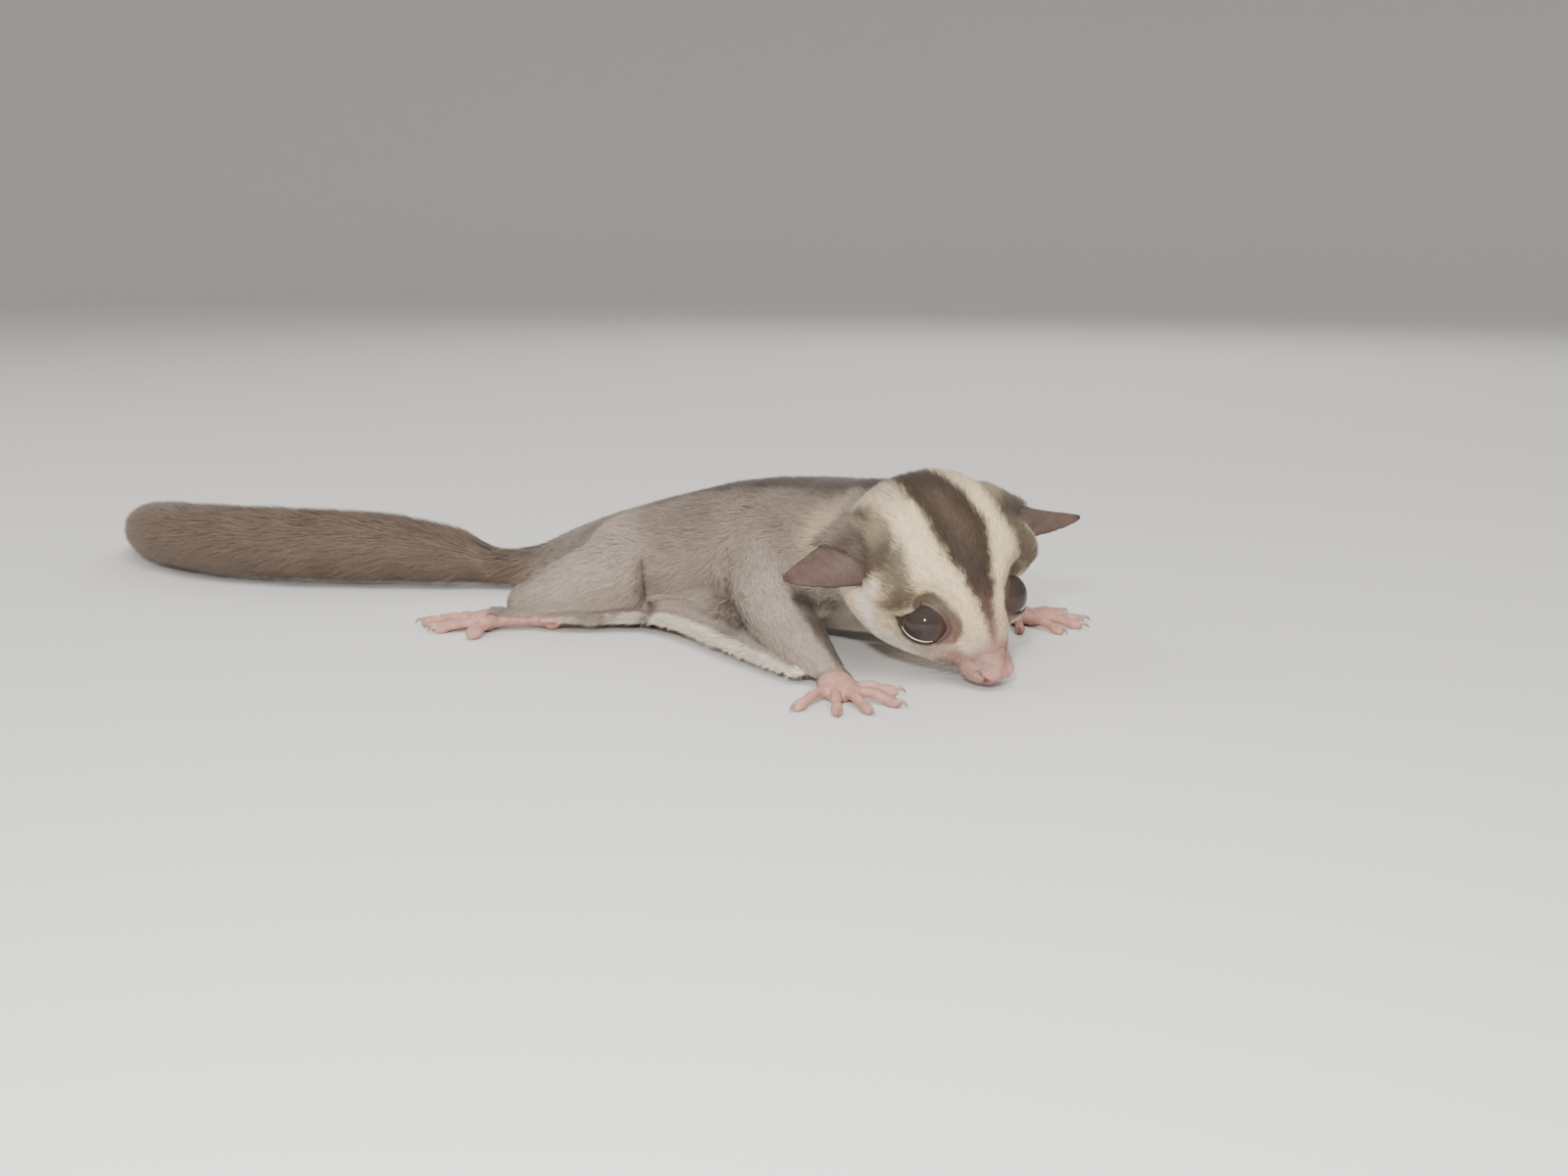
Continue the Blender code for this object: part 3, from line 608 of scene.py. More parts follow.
def ear(side):
    """A leaf-shaped shell rolled at its root: arcs of the section's radius, 0.7 thick, thinner to its rim, with
    low folds across the inside near its root."""
    share = np.linspace(0, 0.98, 40)[:, None]
    turn = np.linspace(-1, 1, 29)
    radius, wrap, aside, inward = ear_section(share)
    along, across, hollow = ear_axes(side)
    thick = 0.72 - 0.2 * np.abs(turn) ** 3 - 0.1 * share
    folds = 0.16 * np.sin(share * 70) * near(share - 0.24, 0.14) * near(turn - 0.35, 0.45)
    faces = []
    for reach, angle in ((radius - 0.5 * thick - folds, turn), ((radius + 0.5 * thick)[:, ::-1], turn[::-1])):
        c = aside + reach * np.sin(wrap * angle)
        h = inward + radius - reach * np.cos(wrap * angle)
        faces.append(EAR_BASE + along * (EAR_LENGTH * share)[..., None] + across * c[..., None]
                     + hollow * h[..., None])
    local = np.concatenate(faces, axis=1) * (1, SIDES[side], 1)
    return skinned(from_head(local))


EYE_AXIS = np.array((0.35, 0.67, 0.65))         # the way the eye looks: forward, outward, up
EYE_SLANT = math.radians(28)                    # how far the line through its corners rises to the front
LID_OPENING = (80, 48)                          # half angles of the opening, along that line and across it


def eye_axes(sign):
    """The eye's own directions in the head's frame: to its front corner, to its lower lid, and outwards."""
    out = unit(EYE_AXIS)
    front = np.array((math.cos(EYE_SLANT), 0, math.sin(EYE_SLANT)))
    front = unit(front - out * (front @ out))
    return [way * (1, sign, 1) for way in (front, np.cross(out, front), out)]


def eye_opening(turn):
    """The half angle of the lids' opening at a turn about the eye: 1 / sqrt((cos/long)^2 + (sin/short)^2)."""
    half = [math.radians(angle) for angle in LID_OPENING]
    return 1 / np.sqrt((np.cos(turn) / half[0]) ** 2 + (np.sin(turn) / half[1]) ** 2)


def on_eye(axes, turn, angle, reach):
    """Places about an eye's middle: reach * (front * cos turn * sin angle + across * sin turn * sin angle
    + out * cos angle)."""
    shares = np.cos(turn) * np.sin(angle) * reach, np.sin(turn) * np.sin(angle) * reach, np.cos(angle) * reach
    return sum(share[..., None] * way for share, way in zip(shares, axes))


def eye_place(head, sign):
    """For places in the head's frame, from an eye's middle: the way there, the distance, the turn from
    the front corner, and how far outside the lids' opening they lie, measured on the ball."""
    front, across, out = eye_axes(sign)
    local = head - eye_middle(sign)
    reach = np.maximum(np.linalg.norm(local, axis=1), 1e-6)
    turn = np.arctan2(local @ across, local @ front)
    angle = np.arccos(np.clip(local @ out / reach, -1, 1))
    return local, reach, turn, (angle - eye_opening(turn)) * EYE_RADIUS


def lid_place(head, sign):
    """How far places in the head's frame lie from an eye's rim, and their turn about it from the front
    corner."""
    _, reach, turn, beyond = eye_place(head, sign)
    return np.hypot(beyond, np.maximum(reach - EYE_RADIUS - 0.6, 0)), turn


def opened(points):
    """Flesh over an eyeball pressed in: to 0.5 under the ball inside the lids' opening, and beyond it to
    a slope of 0.75 of the distance from the rim, flatter behind and above the eye, that grows steeper
    past 2.5."""
    for sign in SIDES.values():
        local, reach, turn, beyond = eye_place(to_head(points), sign)
        slope = 0.75 - 0.5 * near(turn + 2.3, 0.9)
        rise = 0.3 + slope * beyond + 0.35 * np.maximum(beyond - 2.5, 0) ** 2
        allowed = EYE_RADIUS + np.where(beyond < 0, -0.5, rise)
        over = (reach > allowed) & (reach < EYE_RADIUS + 4) & (beyond < 5.5)
        pressed = from_head(eye_middle(sign) + local * (allowed / reach)[:, None])
        points = np.where(over[:, None], pressed, points)
    return points


def lids(sign):
    """Both lids as one ring on the eyeball: for each turn about the eye, a thin closed section that
    starts at the opening and ends deep in the head."""
    turn = np.linspace(0, 2 * math.pi, 120, endpoint=False)[:, None]
    opening = eye_opening(turn)
    # Round the section: along the outside from the deep end to the rim, and back on the inside.
    depth = np.array((1, 0.8, 0.6, 0.4, 0.2, 0.1, 0.03, 0, 0.03, 0.1, 0.2, 0.4, 0.6, 0.8, 1))
    raised = np.array((0.7, 0.64, 0.56, 0.48, 0.4, 0.4, 0.38, 0.22, 0.06, 0.05, 0.05, 0.05, 0.05, 0.05, 0.05))
    angle = opening + depth * (math.radians(105) - opening)
    ring = on_eye(eye_axes(sign), turn, angle, EYE_RADIUS + raised)
    return skinned(from_head(eye_middle(sign) + ring), looped=True)


def nose():
    """The pad's bridge, a lobe round each nostril, and the full lips behind them that carry the whiskers."""
    shapes = [ball((18.7, 0, -5.2), (1.6, 2.1, 1.5)), ball((16.4, 0, -4.4), (3.2, 2.0, 2.1)),
              ball((16.2, 0, -8.2), (2.4, 1.9, 1.2))]
    for sign in SIDES.values():
        shapes.append(ball((18.45, sign * 2.0, -5.6), (1.65, 1.65, 1.55)))
        shapes.append(ball((15.2, sign * 2.4, -6.6), (3.5, 2.2, 2.3)))
    return [(from_head(points), triangles) for points, triangles in shapes]


def paw_shape(paw):
    """Sole, pads and digits of one paw."""
    lines = paw_lines(paw)
    shapes = [tube(rounded_ends(lines[0]), 24)] + [tube(rounded_ends(rows), 16) for rows in lines[1:]]
    for forward, out, size in PADS[kind(paw)]:
        shapes.append(ball(from_paw(np.array((forward, out, size)), paw), (size, size, size)))
    return shapes


THIGH_FOLD = (-25.4, 1.0, 3.4), (-25.9, 1.0, 13.0)      # the ends of the fold's line
# Rows that join a gliding skin to the body: how far inwards, how far up, half width, half height.
WEB_ROWS = (1.6, 0.5, 3.0, 0.8), (3.6, 1.5, 2.8, 1.3), (5.4, 3.0, 2.6, 1.8)
# The box round a paw where triangles are finer, as middle and half sizes, and how strongly they are kept there.
FINE_ZONE = (8, 0, 0), (19, 13, 7)
FINE = 60.0


def thigh_fold(points):
    """1 in the fold between the flank and the thigh, falling to 0 about 1.5 from it, on the outer side."""
    level = points * (1, 0, 1)
    start, end = (np.array(place) * (1, 0, 1) for place in THIGH_FOLD)
    return near(segment_distance(level, start, end), 1.1) * (1 - ease(points[:, 1], 5, 8))


def webs():
    """What joins the gliding skins to the body: each one's line again, moved towards the nearest limb and
    raised."""
    shapes = []
    for stations, side in ((FRILL_R, "r"), (FRILL_L, "l")):
        rows = smooth_line(stations, 4)[4:-4]
        found = [along_line(rows[:, :3], LINES[name]) for name in (f"arm_{side}", "trunk", f"leg_{side}")]
        nearest = np.argmin([gap for _, gap, _, _ in found], axis=0)
        inward = -np.stack([item[3] for item in found])[nearest, np.arange(len(rows))]
        inward = unit(inward * (1, 1, 0))
        for further, higher, wide, high in WEB_ROWS:
            web = rows.copy()
            web[:, :3] += inward * (0.5 * rows[:, 3] + further)[:, None] + higher * UP
            web[:, 3:] = (wide, high)
            shapes.append(tube(rounded_ends(relaxed_rows(web))))
    return shapes


def relaxed_rows(rows, rounds=6):
    """Rows of a line after each inner one has become half itself and a quarter of each neighbour, a few
    times."""
    for _ in range(rounds):
        rows = np.vstack([rows[:1], (rows[:-2] + 2 * rows[1:-1] + rows[2:]) / 4, rows[-1:]])
    return rows


def nostrils(points):
    """1 in each nostril: a round hole at the pad's side with a slit that runs back and up from it."""
    forward, left, up = to_head(points).T
    aside = np.abs(left)
    hole = near(np.hypot(aside - 2.7, (up + 5.8) * 1.1), 0.55) * ease(forward, 18.0, 18.8)
    slit = near(np.hypot((aside - 3.4) * 0.7, (up + 5.3) * 1.8), 0.6) * ease(forward, 16.8, 17.6)
    return np.maximum(hole, 0.8 * slit)


def creases(points):
    """How far each point is pressed in: nostrils, the grooves between and under them, the mouth's line,
    and the fold in front of the right thigh."""
    forward, left, up = to_head(points).T
    aside = np.abs(left)
    pressed = 1.1 * nostrils(points)
    pressed += 0.35 * near(left, 0.26) * ease(forward, 19.0, 19.8)
    pressed += 0.35 * near(left, 0.28) * ease(forward, 17.6, 18.4) * near(up + 7.0, 1.1)
    pressed += 0.3 * near(forward - 16.9 + 0.25 * aside, 0.35) * ease(up, -5.4, -4.4) * (aside < 3.6)
    pressed += 1.1 * thigh_fold(points)
    mouth = -8.35 - 0.13 * (17.5 - forward) + 0.05 * np.maximum(13 - forward, 0) ** 1.5
    pressed += 0.4 * near(up - mouth, 0.32) * ease(forward, 9.5, 12) * (1 - ease(forward, 18.4, 19.0))
    return pressed


def skin_shape():
    """The whole skin, with finer triangles on face, ears and paws than under the coat."""
    shapes = [flesh_from_solids(), *nose()]
    shapes += [ear(side) for side in SIDES] + [lids(sign) for sign in SIDES.values()]
    for paw in PAWS:
        shapes += paw_shape(paw)
    for stations in (FRILL_R, FRILL_L):
        rows = smooth_line(stations, 4)
        rows[:, 3:] *= (0.9, 0.62)
        shapes.append(tube(rounded_ends(rows)))
    shapes += webs()
    points, triangles = fused(joined(shapes), SKIN_VOXEL)
    points = relaxed(points, triangles, SKIN_ROUNDS)
    normals = normals_of(points, triangles)
    points = points - creases(points)[:, None] * normals
    points[:, 2] = np.maximum(points[:, 2], 0.0)
    forward = to_head(points)[:, 0]
    detail = ease(forward, 0, 3) * (np.linalg.norm(points - HEAD_CENTRE, axis=1) < 26)
    detail = np.maximum(detail, on_ears(points))
    middle, half = FINE_ZONE
    for paw in PAWS:
        detail = np.maximum(detail, (np.abs(to_paw(points, paw) - middle) < half).all(axis=1))
    mesh = triangle_mesh("skin", (points, triangles))
    share = SKIN_TRIANGLES / len(triangles)
    mesh = after(mesh, "DECIMATE", ratio=share, weights=np.round(1 - detail), vertex_group_factor=FINE)
    return shape_of(mesh)


# ---- markings: the same for skin and coat --------------------------------------------------------------
# Half width of the dark stripe from the nose's bridge over the crown: forward, half width.
STRIPE = np.array([(-22, 3.0), (-14, 3.8), (-8, 4.9), (-2, 5.2), (3, 4.4), (7, 3.1), (10.5, 1.9), (13, 1.1),
                   (15, 0.6), (16.5, 0.2)])
# The dark band down each foreleg: the side of the leg it runs on, and half its angle.
ARM_BANDS = {"arm_r": ((0.62, -0.15, 0.78), 0.58), "arm_l": ((0.45, -0.6, 0.60), 0.55)}
# Dark patches at the back of each upper arm: from, to, half width.
ARM_PATCHES = [((-11.0, -8.5, 8.5), (-8.0, -17.5, 4.5), 3.0), ((20.0, 18.0, 10.5), (31.0, 24.0, 6.0), 3.0)]
# Middle lines of marks in the head's frame. The first three are on both sides; the last, painted shade over the
# left brow, is on the left only.
CHEEK = (-0.5, 17.0, 2.5), (0.5, 15.5, -5.0)
BEHIND_EAR = (-19, 10.5, 4), (-23, 13, -8)
TEMPLE = (-1.2, 12.2, 8.2), (3.6, 12.7, 3.4)
# Painted shade over the left brow, on the left side only.
LEFT_BROW_SHADE = (-3.0, 13.0, 8.0), (5.3, 11.2, 4.9), (10.3, 6.7, 1.9)
EAR_DOME = (-7.0, 13.8, 4.5), (7.7, 6.4, 5.9)       # the dark furred root of the ear: middle and half sizes
CHEST = (22, -22, 6)                                # in the body's frame
FRILL_EDGES = {"frill_r": (-0.6, -0.8, 0), "frill_l": (0.75, 0.65, 0)}      # the way each outer edge faces
NAPE_REACH = 1.6                                    # how far the head's markings run on over the neck


def segment_distance(points, start, end):
    """Distance of points from the straight line between two places."""
    start, run = np.array(start, float), np.subtract(end, start).astype(float)
    share = np.clip((points - start) @ run / (run @ run), 0, 1)
    return np.linalg.norm(points - start - share[:, None] * run, axis=1)


def head_share(where):
    """1 on the head and on the nape close behind it, 0 on the rest."""
    return np.clip(where.share["head"] * NAPE_REACH, 0, 1)


def white_marks(where, normals, mirrored, head, ragged):
    """White of the throat, cheeks, neck, underside and chest, and of the gliding skins' outer edges."""
    forward, _, up = where.head.T
    share, out = where.share, where.out
    throat = ease(-up + 0.35 * forward + ragged, 5.2, 8.0) * head
    cheek = (1 - ease(segment_distance(mirrored, *CHEEK) + ragged, 1.8, 3.6)) * head
    neck = share["neck"] * ease(-out["neck"][:, 2], 0.05, 0.5)
    under = sum(share[name] for name in ("trunk", "leg_r", "leg_l", "arm_r", "arm_l"))
    under = under * ease(-normals[:, 2], 0.35, 0.8)
    chest = near(np.linalg.norm(where.points - CHEST, axis=1), 13) * ease(-where.points[:, 2], -15, -9)
    edges = [0.85 * share[name] * ease(out[name] @ unit(np.array(way)) + 0.15 * ragged, 0.55, 0.9)
             for name, way in FRILL_EDGES.items()]
    return np.maximum.reduce([throat, cheek, neck, under, chest, *edges])


def tan_marks(where):
    """Pale tan of legs, arms and gliding skins, and of the trunk's lower sides."""
    share, place = where.share, where.place
    legs = sum(share[leg] * (0.15 + 0.6 * ease(place[leg], 0.02, 0.3) - 0.35 * ease(place[leg], 0.6, 0.9))
               for leg in ("leg_r", "leg_l"))
    arms = 0.75 * (share["arm_r"] + share["arm_l"])
    low = 0.7 * ease(-where.out["trunk"][:, 2], -0.35, 0.3) * share["trunk"]
    return np.maximum.reduce([legs, arms, low, 0.6 * (share["frill_r"] + share["frill_l"])])


def crown_stripe(where, ragged):
    """The dark stripe from the nose's bridge over the crown to the nape, a little paler along its middle."""
    forward, left, up = where.head.T
    half = np.interp(forward, STRIPE[:, 0], STRIPE[:, 1])
    across = left - 0.8 * near(forward + 3, 7)
    dark = head_share(where) * ease(up, -7, -4) * (forward < 16.0)
    dark = dark * (1 - ease(np.abs(across) + 0.7 * ragged, half - 0.9, half + 0.8))
    return dark * (1 - 0.07 * near(across, 2.4) * near(forward + 4, 7))


def face_marks(where, mirrored, ragged):
    """The dark ring round each eye, wider to the nose and above; a band from each eye to its ear; and
    painted shade over the left brow."""
    rim, turn = lid_place(mirrored, 1)
    ring = 0.15 + 1.9 * near(turn + 0.1, 0.5) + 1.2 * near(turn + 1.6, 0.9) + 0.6 * near(turn + 2.5, 0.5)
    temple = segment_distance(mirrored, *TEMPLE) + ragged
    # Painted shade: a dark band over the left brow only.
    brow_shade = np.minimum(*[segment_distance(where.head, *run) for run in zip(LEFT_BROW_SHADE, LEFT_BROW_SHADE[1:])]) + 0.7 * ragged
    return np.maximum.reduce([0.88 * (1 - ease(rim + 0.3 * ragged, ring, ring + 1.1)),
                              0.86 * (1 - ease(temple, 1.5, 3.8)), 0.9 * (1 - ease(brow_shade, 1.4, 3.2))])


def ear_roots(where, mirrored, ragged, shell):
    """The dark furred dome at each ear's root, and the lower part of its shell, paler along the rear edge."""
    forward, _, up = where.head.T
    middle, sizes = (np.array(row) for row in EAR_DOME)
    radius = sizes.mean()
    gap = np.linalg.norm((mirrored - middle) / sizes, axis=1) * radius + 0.9 * ragged
    dome = (0.74 + 0.20 * ease(forward, -6.5, -3.0)) * (1 - ease(gap, radius - 1.0, radius + 1.0))
    rear = np.maximum(*[ease(-ear_place(where.points, side)[1], 0.15, 0.6) * on_ear(where.points, side)
                        for side in SIDES])
    return np.maximum(dome * ease(up, 0.8, 3.2), 0.58 * shell) * (1 - 0.75 * rear)


def spine_stripe(where, ragged):
    """The dark stripe along neck and back: a bell of the angle round each line from its top, which leans
    a little to the side the face turns to."""
    lean = 0.26 * (1 - 0.5 * where.place["trunk"])
    top = unit(UP + lean[:, None] * (-0.65, -0.76, 0.0))
    share = where.share["neck"] + where.share["trunk"]
    spine = 0
    for name, strength in (("neck", 0.95), ("trunk", 1.0 - 0.45 * where.place["trunk"])):
        way = where.way[name]
        out, over = (unit(side - (side * way).sum(axis=1, keepdims=True) * way)
                     for side in (where.out[name], top))
        above = np.arccos(np.clip((out * over).sum(axis=1), -1, 1))
        spine = spine + strength * where.share[name] / share * near(above + 0.05 * ragged, 0.29)
    return np.minimum(1.9 * spine, 0.88) * ease(share, 0.06, 0.3)


def arm_marks(where, ragged):
    """The dark band down each foreleg, and the dark patch behind each upper arm."""
    dark = []
    for name, (way, half) in ARM_BANDS.items():
        across = np.arccos(np.clip(where.out[name] @ unit(np.array(way)), -1, 1)) + 0.10 * ragged
        place = where.place[name]
        reach = ease(place, 0.24, 0.42) * (1 - 0.5 * ease(place, 0.77, 0.97))
        dark.append(0.72 * where.share[name] * reach * (1 - ease(across, half - 0.2, half + 0.2)))
    for start, end, half in ARM_PATCHES:
        reach = segment_distance(where.points, start, end) + ragged
        dark.append(0.5 * (1 - ease(reach, half - 1.4, half + 1.6)))
    return np.maximum.reduce(dark)


def markings(where, normals, spread=0.0):
    """Shares of each colour over the grey: tail brown, pale tan, cream, white, dark, and pink skin.
    The dark share also holds painted shade in the thigh's fold and over the left brow.
    spread moves each place's borders by that many millimetres, which blends them hair by hair."""
    forward, _, up = where.head.T
    mirrored = where.head * (1, 0, 1) + np.abs(where.head) * (0, 1, 0)
    head = head_share(where) * ease(forward, -22, -17)
    ragged = 0.22 * wander(where.points, 3.0, 41) + 0.12 * wander(where.points, 1.1, 42) + spread
    shell = on_ears(where.points)
    off_ears = 1 - shell
    tail = where.share["tail"] * ease(where.place["tail"], -0.06, 0.08)
    cream = np.maximum(head * ease(forward + 2 * ragged, -19, -5),
                       0.55 * near(segment_distance(mirrored, *BEHIND_EAR), 5.0))
    roots = ear_roots(where, mirrored, ragged, shell) * head
    white = white_marks(where, normals, mirrored, head, ragged) * (1 - np.minimum(1.15 * roots, 1))
    dark = np.maximum.reduce([crown_stripe(where, ragged), face_marks(where, mirrored, ragged) * head, roots,
                              spine_stripe(where, ragged) * (1 - 0.3 * head), arm_marks(where, ragged)])
    dark = dark * (1 - 0.9 * np.clip(white * 1.1, 0, 1) * (dark < 0.7))
    # Painted shade: the fold in front of the right thigh is darkened.
    dark = np.maximum(dark, 0.75 * thigh_fold(where.points))
    above_nose = ease(up + 0.1 * (forward - 15), -4.2, -1.8) * (1 - ease(forward + ragged, 14.2, 16.2))
    pink = 0.93 * head * ease(forward + ragged, 7.0, 13.5) * (1 - 0.7 * above_nose)
    return {"tail": tail, "tan": tan_marks(where), "cream": cream * off_ears,
            "white": white * (1 - 0.5 * dark) * off_ears, "dark": dark, "pink": pink}


# ---- the coat ----------------------------------------------------------------------------------------
BEND = 0.45                                     # how far along a hair it bends, and is widest
PIECE_HAIRS = 98000                             # 2 triangles a hair keep a piece under 200,000
SMALL_TUFT, LARGE_TUFT = 0.75, 2.6              # cells whose hairs lean together
LOCK = 0.42                                     # cells whose hairs share a tone
THIN, THICKER = 0.052, 0.0115                   # a leaf's width, and what each millimetre of its length adds
INSET, FLOOR_GAP = 0.1, 0.03                    # how far hairs stay inside the solids' box, and above the floor
TAIL_RUN = 165.0                                # length of the tail's line


def scattered(shape, density):
    """Random places on the skin, even by area and density: triangle and the shares of its corners."""
    points, triangles = shape
    corner = points[triangles]
    area = 0.5 * np.linalg.norm(np.cross(corner[:, 1] - corner[:, 0], corner[:, 2] - corner[:, 0]), axis=1)
    filled = np.cumsum(area * density[triangles].mean(axis=1))
    count = int(filled[-1])
    pick = np.searchsorted(filled, (np.arange(count) + RANDOM.random(count)) * (filled[-1] / count))
    pick = np.minimum(pick, len(triangles) - 1)
    a, b = np.sqrt(RANDOM.random(count)), RANDOM.random(count)
    return triangles[pick], np.stack((1 - a, a * (1 - b), a * b), -1)


def carried(values, corners, shares):
    """Point values read at places inside triangles."""
    return np.einsum("nk,nk...->n...", shares, values[corners])


def cells(roots, cell):
    """The number of the cell of a bent lattice that each root lies in."""
    bent = 0.35 * np.stack([wander(roots, 5.0, 60 + k) for k in range(3)], -1)
    key = np.floor(roots / cell + bent).astype(np.int64)
    key = (key - key.min(axis=0)) @ np.array((1, 4096, 4096 * 4096))
    return np.unique(key, return_inverse=True)[1].reshape(-1)


def gathered(roots, tips, cell, pull):
    """Tips drawn towards the mean tip of their cell, which makes tufts."""
    group = cells(roots, cell)
    count = np.bincount(group)[:, None]
    mean = np.stack([np.bincount(group, tips[:, axis]) for axis in range(3)], -1) / count
    return tips + pull[:, None] * (mean[group] - tips)


def hair_sizes(where):
    """Each hair's length, and how high its tip stands over the skin: both drawn at random about the
    coat's own, and less towards the paws, the lids, bare skin, the fold of the thigh and the tail's
    end."""
    count = len(where.points)
    share, place = where.share, where.place
    depth, length, _ = coat_at(where)
    length = length * RANDOM.uniform(0.7, 1.12, count) * (1 - 0.5 * ease(bareness(where), 0.1, 0.8))
    on_tail = where.limb == NAMES.index("tail")
    length = np.where(on_tail, np.minimum(length, 0.8 + 0.6 * TAIL_RUN * (1 - place["tail"])), length)
    for frill, leg in (("frill_r", "leg_r"), ("frill_l", "leg_l")):
        length *= 1 - 0.6 * share[frill] * ease(place[frill], 0.78, 0.9)
        length *= 1 - 0.35 * share[leg] * ease(place[leg], 0.85, 1.0)
    rims = [lid_place(where.head, sign)[0] for sign in SIDES.values()]
    for rim in rims:
        length *= 0.4 + 0.6 * ease(rim, 0.4, 3.4)
    height = depth * (1 - 0.8 * thigh_fold(where.points)) * RANDOM.uniform(0.4, 1.0, count) + 0.05
    height = np.minimum(height * (1 - 0.55 * (share["arm_r"] + share["arm_l"])), 0.75 * length)
    for rim in rims:
        height *= 0.35 + 0.65 * ease(rim, 0.4, 3.0)
    return length, height


def coat(skin, normals):
    """Every hair as a thin leaf, pointed at root and tip and widest where it bends: it leaves the skin
    steeply, then lies along it. Hairs of one small cell lean together and share a tone."""
    points, _ = skin
    where = Places(points)
    hairs = coat_at(where)[2] * (1 - ease(bareness(where), 0.3, 0.95))
    hairs *= 1 - 0.85 * ease(-normals[:, 2], 0.2, 0.6) * ease(-points[:, 2], -4.0, -1.5)    # few underneath
    corners, shares = scattered(skin, hairs)
    roots, out = carried(points, corners, shares), unit(carried(normals, corners, shares))
    where = Places(roots)
    count = len(roots)
    arms, legs = (where.share[f"{limb}_r"] + where.share[f"{limb}_l"] for limb in ("arm", "leg"))
    lie = lie_of(where, out)
    length, height = hair_sizes(where)
    run = np.sqrt(np.maximum(length ** 2 - height ** 2, (0.4 * length) ** 2))
    sway = 0.15 * length * (1 - 0.4 * arms) * RANDOM.normal(size=count)
    tips = roots + lie * run[:, None] + out * height[:, None] + np.cross(lie, out) * sway[:, None]
    tips = gathered(roots, tips, SMALL_TUFT, (0.34 + 0.15 * legs) * ease(length, 1.2, 4.0))
    tips = gathered(roots, tips, LARGE_TUFT, (0.14 + 0.16 * legs) * ease(length, 2.5, 5.0))
    reach = tips - roots
    rise = (reach * out).sum(axis=1, keepdims=True)
    flat = reach - rise * out
    bend = roots + flat * BEND + rise * out * (1 - (1 - BEND) ** 1.7)
    roll = RANDOM.uniform(-0.6, 0.6, count)[:, None]
    wide = unit(np.cross(flat, out)) * np.cos(roll) + out * np.sin(roll)
    thickness = (THIN + THICKER * length) * RANDOM.uniform(0.7, 1.25, count)
    half = 0.5 * thickness[:, None] * wide
    leaf = np.stack((roots - 0.1 * out, bend - half, bend + half, tips), 1)
    low, high = np.array(cad_box) / MM - TO_MODEL
    leaf = np.clip(leaf, low + (INSET, INSET, FLOOR_GAP), high - INSET)
    marks = markings(where, out, 0.45 * RANDOM.normal(size=count))
    facing = unit(0.62 * out + 0.38 * unit(np.cross(wide, flat)))
    lock = cells(roots, LOCK)
    tone = RANDOM.uniform(-1, 1, lock.max() + 1)[lock]
    fields = {"shade": 0.6 * RANDOM.uniform(-1, 1, count) + 0.4 * tone, **marks}
    for number, name in enumerate(NAMES):
        mine = np.flatnonzero(where.limb == number)
        mine = mine[np.argsort(where.place[name][mine], kind="stable")]
        parts = max(1, math.ceil(len(mine) / PIECE_HAIRS))
        for part, chosen in enumerate(np.array_split(mine, parts)):
            title = f"coat_{name}" if parts == 1 else f"coat_{name}_{part + 1}"
            coat_piece(title, name, chosen, leaf, where, facing, fields)


def coat_piece(title, limb, chosen, leaf, where, facing, fields):
    """One mesh of hairs, each two triangles on four points: root, both sides of the bend, tip."""
    count = len(chosen)
    corners = (np.arange(count)[:, None] * 4 + np.array((0, 2, 1, 1, 2, 3))).ravel()
    mesh = quick_mesh(title, to_model(leaf[chosen].reshape(-1, 3)), corners, np.arange(0, 6 * count, 3))
    for name, values in fields.items():
        write(mesh, name, np.repeat(values[chosen], 4))
    write(mesh, "along", np.tile(np.array((0, BEND, BEND, 1.0)), count))
    write_map(mesh, unwrapped(limb, where, chosen), corners)
    put(title, mesh, MATERIALS["coat"])
    mesh.normals_split_custom_set_from_vertices(np.repeat(facing[chosen], 4, axis=0))


def write(mesh, name, values):
    """Stores one number for each point of a mesh."""
    made = mesh.attributes.new(name, "FLOAT", "POINT")
    made.data.foreach_set("value", np.ascontiguousarray(values, np.float32))


def unwrapped(limb, where, chosen):
    """The skin unrolled from the limb's line: the angle round it, and the place along it."""
    way, out = where.way[limb][chosen], where.out[limb][chosen]
    side = unit(np.cross(way, UP))
    over = np.cross(side, way)
    angle = np.arctan2((out * over).sum(axis=1), (out * side).sum(axis=1)) / (2 * math.pi) + 0.5
    return np.stack((angle, where.place[limb][chosen]), -1) * 0.994 + 0.003


PATCH = 0.003                                   # a hair's size on the unrolled skin


def write_map(mesh, centres, corners):
    """Each hair's own small patch at its root's place on the unrolled skin."""
    across = np.array((0, -1, 1, 0)) * 0.5 * PATCH
    up = (np.array((0, BEND, BEND, 1)) - 0.5) * PATCH
    places = (centres[:, None] + np.stack((across, up), -1)).reshape(-1, 2)[corners]
    layer = mesh.uv_layers.new(name="OFBake")
    layer.uv.foreach_set("vector", np.ascontiguousarray(places, np.float32).ravel())


# ---- finishes ----------------------------------------------------------------------------------------
def linear(red, green, blue):
    """A colour as a screen shows it, 0 to 255, in the linear numbers a shader takes."""
    return (*[((c / 255 + 0.055) / 1.055) ** 2.4 for c in (red, green, blue)], 1.0)


